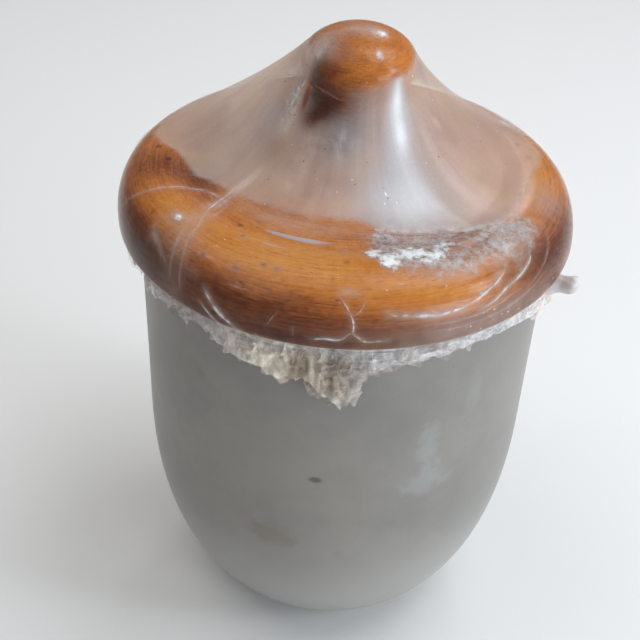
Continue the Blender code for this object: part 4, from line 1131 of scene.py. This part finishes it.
foldValues = dict(
    stepsPerPoint=10, sink=0.00006, taper=0.9, ragged=0.5, leastTaper=0.15, wider=1.35,
    probe=0.4,  # degrees and millimetres to the places that give the film's slope
    noiseStep=0.16, foldApart=3.7, wildStart=0.5, dullStart=9.5, dullStep=1.7,
    evenWhite=0.95, whiteSway=1.1, whiteEnds=(0.15, 1.25), whiteTaper=0.4, tilt=0.5,
    # The six corners across a fold: how far out, up, aside and under they are, and how white.
    # The last two of its six sides are its hidden foot.
    out=(-1.0, -0.45, 0.0, 0.45, 1.0, 0.0), up=(0.0, 0.45, 1.0, 0.45, 0.0, 0.0),
    aside=(0.0, 0.4, 1.0, 0.4, 0.0, 0.0), under=(1.0, 0.0, 0.0, 0.0, 1.0, 1.5),
    whiteness=(0.0, 0.30, 1.0, 0.30, 0.0, 0.0),
    # Each fold's points, height and half width in millimetres, and how white its painted glint is
    folds=(
        (((-79, 69.2), (-76.3, 69.7), (-70.6, 70.4), (-65.2, 70.6), (-61, 70.2)), 0.4, 0.85, 1),
        (((-66, 70.8), (-60.3, 70), (-53.5, 68.1), (-49, 66.4), (-46, 64.6)), 0.32, 0.5, 0.6),
        (((-57, 72), (-53, 71), (-48.4, 69.2), (-43, 68), (-39.1, 66.6), (-36.5, 64.4)), 0.32, 0.75, 0.6),
        (((-72, 72.6), (-62, 73), (-53, 72.4), (-46, 71)), 0.13, 0.26, 0.35),
        (((-70, 74.6), (-57, 74.6), (-44, 73.2), (-34, 71)), 0.14, 0.32, 0.28),
        (((-44, 72.2), (-36, 70), (-30, 67), (-27, 64)), 0.14, 0.45, 0.22),
        (((-89.4, 65.8), (-88.6, 66.8), (-87.9, 67.9), (-87, 69.5)), 0.21, 0.22, 0.6),
        (((-84, 66.6), (-84.6, 68), (-85.7, 69.2), (-87, 69.6)), 0.19, 0.18, 0.45),
        (((-87.2, 69.2), (-86.7, 70.4), (-86.5, 71.8), (-86.7, 73.6)), 0.27, 0.28, 0.9),
        (((-95.5, 75.8), (-92.8, 75.2), (-89.5, 75.2), (-87, 73.4)), 0.36, 0.42, 0.8),
        (((-87, 73.4), (-85.3, 74.6), (-83.5, 75.6), (-79, 75.4)), 0.32, 0.36, 0.7),
        (((-121, 70.6), (-120.1, 71.8), (-117, 74.7), (-114.2, 76.4), (-112, 78)), 0.4, 0.7, 1),
        (((-122, 74.2), (-119, 76.6), (-116, 78.4)), 0.32, 0.4, 0.7),
        (((-113, 77.4), (-110.6, 79), (-108.6, 80.6), (-106, 81.6)), 0.36, 0.45, 0.9),
        (((-107.4, 78.6), (-105, 80), (-102, 81.2)), 0.28, 0.35, 0.6),
        (((-96, 79.4), (-94, 80.8), (-92.4, 82)), 0.36, 0.45, 0.9),
        (((-99, 80.6), (-97.6, 82.2), (-96, 84)), 0.34, 0.34, 1),
        (((-94.6, 81.2), (-92.8, 82.8), (-91.4, 83.8)), 0.34, 0.34, 1),
        (((-91.4, 80.6), (-89, 82.4), (-86, 83)), 0.3, 0.3, 0.9),
        (((-121.6, 79.6), (-119.4, 82.2), (-117, 84)), 0.3, 0.34, 0.8),
        (((-84, 86.4), (-78, 86.2), (-70, 85.6), (-62, 85.2), (-54, 84.6)), 0.3, 0.3, 0.9),
        (((-92, 79.4), (-89, 81), (-86, 81.6)), 0.32, 0.45, 0.8),
        (((-86, 78.6), (-80, 80.4), (-72, 80.6), (-62, 79.6)), 0.2, 0.3, 0.7),
        (((-161, 69.5), (-159.9, 67), (-157, 61.5), (-155.2, 56.2), (-154, 51.5), (-150.9, 48.2),
          (-145, 46.6), (-140, 46.6), (-136.6, 47.8)), 0.11, 0.75, 0.34),
        (((-144.6, 37), (-145.6, 40), (-144.8, 43.4), (-143.1, 45.8)), 0.16, 0.45, 0.45),
        (((-145, 43.2), (-143.1, 46), (-141.6, 48.6), (-139.6, 51.6)), 0.24, 0.62, 0.8),
        (((-143.2, 42.8), (-141.4, 45.6), (-139.6, 48.4), (-137.4, 51.6)), 0.19, 0.34, 0.55),
        (((-140, 50.9), (-136.4, 54.2), (-133, 57.9), (-131.6, 61)), 0.18, 0.55, 0.5),
        (((-137.4, 48), (-136.2, 50), (-135.4, 52)), 0.16, 0.34, 0.5),
        (((-138.8, 55), (-135.6, 60), (-133.2, 66), (-131.8, 72)), 0.13, 0.5, 0.18),
        (((-132.6, 60), (-129.8, 66), (-128.4, 73)), 0.13, 0.4, 0.17),
        (((-143.6, 62.6), (-142.8, 65.4), (-138.4, 67.4), (-134.1, 69.6)), 0.18, 0.75, 0.32),
        (((-103, 70.4), (-104.6, 72.6), (-105.6, 74.6)), 0.13, 0.12, 0.28),
        (((-99.4, 73.2), (-99.6, 75.6)), 0.13, 0.12, 0.28),
        (((-146, 17.4), (-146.8, 20.4), (-148.6, 23.4), (-150.6, 27)), 0.29, 0.55, 0.8),
        (((-155, 20.4), (-150.6, 22), (-145.6, 21.6)), 0.26, 0.45, 0.7),
        (((-124.8, 35.6), (-123.4, 36.2), (-122.2, 36)), 0.1, 0.16, 0.45),
        (((-121.4, 31.8), (-120.3, 32.6), (-119.6, 33.8)), 0.1, 0.14, 0.4),
        (((-100.6, 34.8), (-99.7, 35.6), (-98.6, 35.2)), 0.1, 0.14, 0.4),
        (((-98.2, 25.6), (-98.6, 27.4), (-97.8, 28.8)), 0.1, 0.16, 0.4),
        (((-18.6, 28.6), (-17.3, 29.1), (-16.8, 30.4)), 0.12, 0.22, 0.7),
        (((-144, 22), (-147, 25.4), (-147.6, 29)), 0.24, 0.5, 0.45),
        (((-145, 17.4), (-139.8, 18.1), (-129, 19.2), (-119.7, 19.7), (-109, 20.4), (-98.6, 20.6)),
          0.06, 0.3, 0.2),
        (((28, 74), (40, 69), (55, 66.5)), 0.4, 0.5, 0.7),
        (((90, 58), (96, 64), (95, 73)), 0.28, 0.4, 0.5),
        (((130, 75), (140, 70), (152, 69)), 0.4, 0.5, 0.7),
        (((160, 60), (168, 66), (170, 73)), 0.28, 0.4, 0.5),
        (((-12, 72), (-4, 68), (8, 66), (18, 62)), 0.24, 0.5, 0.4),
    ),
)


def smoothLine(corners, stepsPerPoint):
    # A Catmull-Rom curve through the corners
    corners = [np.array(c, float) for c in corners]
    padded = [2 * corners[0] - corners[1]] + corners + [2 * corners[-1] - corners[-2]]
    made = []
    for a, b, c, d in zip(padded, padded[1:], padded[2:], padded[3:]):
        for t in np.arange(stepsPerPoint) / stepsPerPoint:
            square, cube = 2 * a - 5 * b + 4 * c - d, 3 * b - a - 3 * c + d
            made.append(0.5 * (2 * b + (c - a) * t + square * t * t + cube * t**3))
    return np.array(made + [corners[-1]])


def onFilm(surface, azimuth, length):
    # Points of the finished film at given azimuths and lengths
    grid, lengthGrid = surface
    columns = grid.shape[1]
    found = []
    for column, s in zip((np.asarray(azimuth) + 180) / 360 * columns, length):
        pair = []
        for side in (math.floor(column), math.floor(column) + 1):
            side %= columns
            pair.append([np.interp(s, lengthGrid[:, side], grid[:, side, axis]) for axis in range(3)])
        share = column - math.floor(column)
        found.append([a * (1 - share) + b * share for a, b in zip(*pair)])
    return np.array(found)


def makeFolds(v, surface):
    # Thin closed ridges that lie on the film, each tapered at both ends
    verts, faces, whiteness, flat = [], [], [], []
    sides = len(v["whiteness"])
    for number, (corners, height, width, white) in enumerate(v["folds"]):
        line = smoothLine(corners, v["stepsPerPoint"])
        middle = onFilm(surface, line[:, 0], line[:, 1])
        beside = onFilm(surface, line[:, 0] + v["probe"], line[:, 1])
        below = onFilm(surface, line[:, 0], line[:, 1] + v["probe"])
        normal = unit(np.cross(below - middle, beside - middle))
        across = unit(np.cross(normal, np.gradient(middle, axis=0)))
        count = len(line)
        share = (np.arange(count) + 0.5) / count
        run, apart = share * count * v["noiseStep"], number * v["foldApart"]
        wild = np.array([noise.noise(Vector((s, apart, v["wildStart"]))) for s in run])
        dull = np.array([noise.noise(Vector((s * v["dullStep"], apart, v["dullStart"]))) for s in run])
        rough = np.maximum(1 + v["ragged"] * wild, v["leastTaper"])
        taper = (np.sin(math.pi * share) ** v["taper"] * rough)[:, None]
        # A painted glint: white along the crest and clear at the foot of both slopes
        bright = white * np.clip(v["evenWhite"] + v["whiteSway"] * dull, *v["whiteEnds"])
        bright = bright * np.sin(math.pi * share) ** v["whiteTaper"]
        whiteness += (bright[:, None] * np.array(v["whiteness"])).ravel().tolist()
        rise = normal * height * mm * taper
        spread = across * width * v["wider"] * mm * np.sqrt(taper)
        tilt = across * (width * mm * v["tilt"]) * wild[:, None]
        foot = -normal * v["sink"]
        rings = np.stack([middle + spread * out + rise * up + tilt * aside + foot * under
                          for out, up, aside, under in zip(v["out"], v["up"], v["aside"], v["under"])], 1)
        first = len(verts)
        verts += rings.reshape(-1, 3).tolist()
        for ring in range(count - 1):
            for side in range(sides):
                a, b = first + ring * sides + side, first + ring * sides + (side + 1) % sides
                faces.append((a, a + sides, b + sides, b))
                flat.append(side >= sides - 2)
        faces.append(tuple(first + side for side in range(sides)))
        faces.append(tuple(first + (count - 1) * sides + side for side in reversed(range(sides))))
        flat += [True, True]
    mesh = newMesh("filmFolds", verts, faces)
    mesh.polygons.foreach_set("use_smooth", [not hidden for hidden in flat])
    setField(mesh, "fold", whiteness)
    setField(mesh, "touch", np.full(len(verts), -10.0))
    return addObject("filmFolds", mesh)


# Gathered scraps of film along the hem: a Geometry Nodes tree puts a leaf of film on every point,
# turned and sized by the point's own attributes, and crumples it

gatherValues = dict(
    seed=7, count=270, wide=(0.0034, 0.0078), tall=(0.0022, 0.0046), radius=(0.0531, 0.0546), top=0.1180,
    tilt=0.45, swing=0.35, crumple=0.0026, crumpleScale=260.0, rows=6, columns=9,
    hang=0.75, leastFall=0.0008, fallShare=1.05,  # how leaves spread over the hem's depth
    least=0.0525, most=0.0560, ceiling=0.1186,
    foldOut=0.3, foldIn=0.1, mostFold=0.002,  # a leaf past these radii is folded back by a share
    lengthAtBase=80.0,  # about the film's own length at the height of the lid's lower edge
    grainShift=-4.0, grainPerMetre=900,  # so that neighbouring leaves differ in grain
    # Where the gathers are thick: azimuth, half span, how much thicker
    places=(
        (-104, 13, 3), (-91, 5, 4), (-88.6, 3, 3), (-75, 9, 1.5), (-24, 8, 0.8), (-48, 24, -0.6),
        (84, 9, 2), (156, 8, 1.5),
    ),
)


def gatherTree():
    inputs = {"Places": "Geometry", "Rows": "Int", "Columns": "Int", "Crumple": "Float",
              "Crumple scale": "Float", "Film": "Material"}
    tree, add, given = newTree("gathers", inputs, "Gathers")
    leaf = add("GeometryNodeMeshGrid", {"Vertices X": given["Columns"], "Vertices Y": given["Rows"],
                                        "Size X": 1.0, "Size Y": 1.0})
    turn, size = [add("GeometryNodeInputNamedAttribute", {"Name": name}, data_type="FLOAT_VECTOR")
                  for name in ("turn", "size")]
    laid = add("GeometryNodeInstanceOnPoints", {"Points": given["Places"], "Instance": leaf,
                                                "Rotation": turn, "Scale": size})
    real = add("GeometryNodeRealizeInstances", {"Geometry": laid})
    wild = add("ShaderNodeTexNoise", {"Scale": given["Crumple scale"], "Detail": 3.0, "Roughness": 0.6},
               "Color")
    centred = add("ShaderNodeVectorMath", {0: wild, 1: (0.5, 0.5, 0.5)}, operation="SUBTRACT")
    shift = add("ShaderNodeVectorMath", {0: centred, "Scale": given["Crumple"]}, operation="SCALE")
    moved = add("GeometryNodeSetPosition", {"Geometry": real, "Offset": shift})
    # Flat facets catch the light as crumpled film does
    facets = add("GeometryNodeSetShadeSmooth", {"Geometry": moved, "Shade Smooth": False})
    done = add("GeometryNodeSetMaterial", {"Geometry": facets, "Material": given["Film"]})
    add("NodeGroupOutput", {"Gathers": done})
    return tree


def makeGathers(v, film, size, material):
    random = np.random.default_rng(v["seed"])
    degrees, count = np.arange(-180, 180), v["count"]
    thick = np.array([1 + sum(more * math.exp(-(((a - middle + 180) % 360 - 180) / span) ** 2)
                              for middle, span, more in v["places"]) for a in degrees])
    azimuth = random.choice(degrees, count, p=thick / thick.sum()) + random.random(count)
    depth = wave(film["hemDepths"], azimuth) * mm
    tall = random.uniform(*v["tall"], count)
    fall = random.random(count) * np.maximum(depth - tall * v["hang"], v["leastFall"]) * v["fallShare"]
    turn = np.radians(azimuth)
    spots = around(turn, random.uniform(*v["radius"], count), v["top"] - tall / 2 - fall)
    mesh = newMesh("gatherPlaces", spots.tolist(), [])
    tilt = random.normal(0, v["tilt"], count)
    turns = np.stack([quarterTurn + random.normal(0, v["swing"], count), tilt,
                      turn + quarterTurn + random.normal(0, v["swing"], count)], -1)
    sizes = np.stack([random.uniform(*v["wide"], count), tall, np.ones(count)], -1)
    for name, values in (("turn", turns), ("size", sizes)):
        mesh.attributes.new(name, "FLOAT_VECTOR", "POINT").data.foreach_set("vector", values.ravel())
    values = {"Rows": v["rows"], "Columns": v["columns"], "Crumple": v["crumple"],
              "Crumple scale": v["crumpleScale"], "Film": material}
    made = runTree(addObject("gatherPlaces", mesh), gatherTree(), values)
    made.name = "filmGathers"
    # Off the jar's wall and under the lid
    found = points(made)
    away = np.hypot(found[:, 0], found[:, 1])
    inwards, outwards = np.clip((v["least"] - away, away - v["most"]), 0, v["mostFold"])
    held = np.clip(away, v["least"], v["most"]) + v["foldOut"] * inwards - v["foldIn"] * outwards
    found[:, :2] *= (held / away)[:, None]
    found[:, 2] = np.minimum(found[:, 2], v["ceiling"])
    movePoints(made, found)
    azimuth = np.degrees(np.arctan2(found[:, 1], found[:, 0]))
    length = v["lengthAtBase"] + (size["base"] - found[:, 2]) / mm
    looks = dict(hem=np.full(len(found), 0.5), touch=np.full(len(found), -10.0),
                 along=length + v["grainShift"] + found[:, 0] * v["grainPerMetre"],
                 wad=np.clip(patches(azimuth, length, film["places"]["wad"]), 0, 1) * 0.9,
                 tea=np.clip(patches(azimuth, length, film["places"]["tea"]), 0, 1))
    for name, values in looks.items():
        setField(made, name, values)
    return addObject("filmGathers", made)


# The film's twisted end, which sticks out at the right under the rim

twistValues = dict(
    azimuth=-23.0, root=0.0532, reach=0.0086, height=0.1157, rise=0.0024, rings=44, around=40, turns=0.35,
    flutes=5, fluteDepth=0.07, fluteWander=1.5, fluteFade=0.7,
    # Share of the reach, radius
    outline=((0.0, 0.0033), (0.18, 0.0029), (0.36, 0.0024), (0.50, 0.0021), (0.64, 0.0022), (0.78, 0.00235),
             (0.88, 0.0021), (0.95, 0.0015), (0.985, 0.0008), (1.0, 0.0001)),
    looks=dict(touch=10.0, milk=0.95, cool=0.5, hem=0.5),
)


def makeTwist(v):
    turn = math.radians(v["azimuth"])
    out = np.array([math.cos(turn), math.sin(turn), 0.0])
    beside = np.array([-math.sin(turn), math.cos(turn), 0.0])
    upward = np.array([0.0, 0.0, 1.0])
    rings, sides = v["rings"], v["around"]
    share = np.linspace(0, 1, rings)[:, None]
    radius = np.interp(share, *zip(*v["outline"]))
    radius[1:-1] = (radius[:-2] + radius[1:-1] + radius[2:]) / 3
    angle = np.linspace(0, fullTurn, sides, endpoint=False)[None, :]
    spin = angle + v["turns"] * fullTurn * share
    flute = np.cos(v["flutes"] * angle + v["fluteWander"] * np.sin(angle))
    reach = radius * (1 + v["fluteDepth"] * flute * (1 - v["fluteFade"] * share))
    middle = out * (v["root"] + v["reach"] * share) + upward * (v["height"] + v["rise"] * share)
    spoke = np.cos(spin)[..., None] * beside + np.sin(spin)[..., None] * upward
    found = middle[:, None, :] + reach[..., None] * spoke
    verts = np.vstack([found.reshape(-1, 3), middle[:1], middle[-1:]])
    # Rows run outwards here, so the grid's faces are turned round
    faces = [(a, d, c, b) for a, b, c, d in gridFaces(rings, sides)]
    root, tip, last = rings * sides, rings * sides + 1, (rings - 1) * sides
    faces += [(root, (c + 1) % sides, c) for c in range(sides)]
    faces += [(tip, last + c, last + (c + 1) % sides) for c in range(sides)]
    mesh = newMesh("filmTwist", verts.tolist(), faces)
    mesh.shade_smooth()
    for name, value in v["looks"].items():
        setField(mesh, name, np.full(len(verts), value))
    return addObject("filmTwist", mesh)


film, filmSurface = makeFilm(filmValues, lidValues, foldValues["folds"])
filmPaint = filmMaterial(filmValues)
print("film laid over the lid,", len(film.data.polygons), "faces")
filmFolds = makeFolds(foldValues, filmSurface)
gathers = makeGathers(gatherValues, filmValues, lidValues, filmPaint)
twist = makeTwist(twistValues)
for piece in (film, filmFolds, twist):
    piece.data.materials.append(filmPaint)
for piece in (film, filmFolds, gathers, twist):
    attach(piece, "lid")
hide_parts("film_wrap")
print("folds, gathers and twisted end made,", len(gathers.data.polygons), "faces in the gathers")


# Floor

floorValues = dict(
    halfSpan=2.0, pale=(0.93, 0.93, 0.925), grey=(0.88, 0.88, 0.88), greyShare=0.10, mottle=(30.0, 4.0),
    roughness=0.7, reflection=0.3,
)


def makeFloor(v):
    span = v["halfSpan"]
    corners = [(-span, -span, 0), (span, -span, 0), (span, span, 0), (-span, span, 0)]
    mesh = newMesh("floor", corners, [(0, 1, 2, 3)])
    made = addObject("floor", mesh)
    paint = Paint("paleFloor")
    mottle = paint.grain(paint.place(), *v["mottle"])
    colour = paint.blend(mottle * v["greyShare"], v["pale"], v["grey"])
    mesh.materials.append(paint.finish(paint.surface(colour, v["roughness"], v["reflection"])))


makeFloor(floorValues)
bpy.context.scene.cycles.transparent_max_bounces = 16
print("scene done")
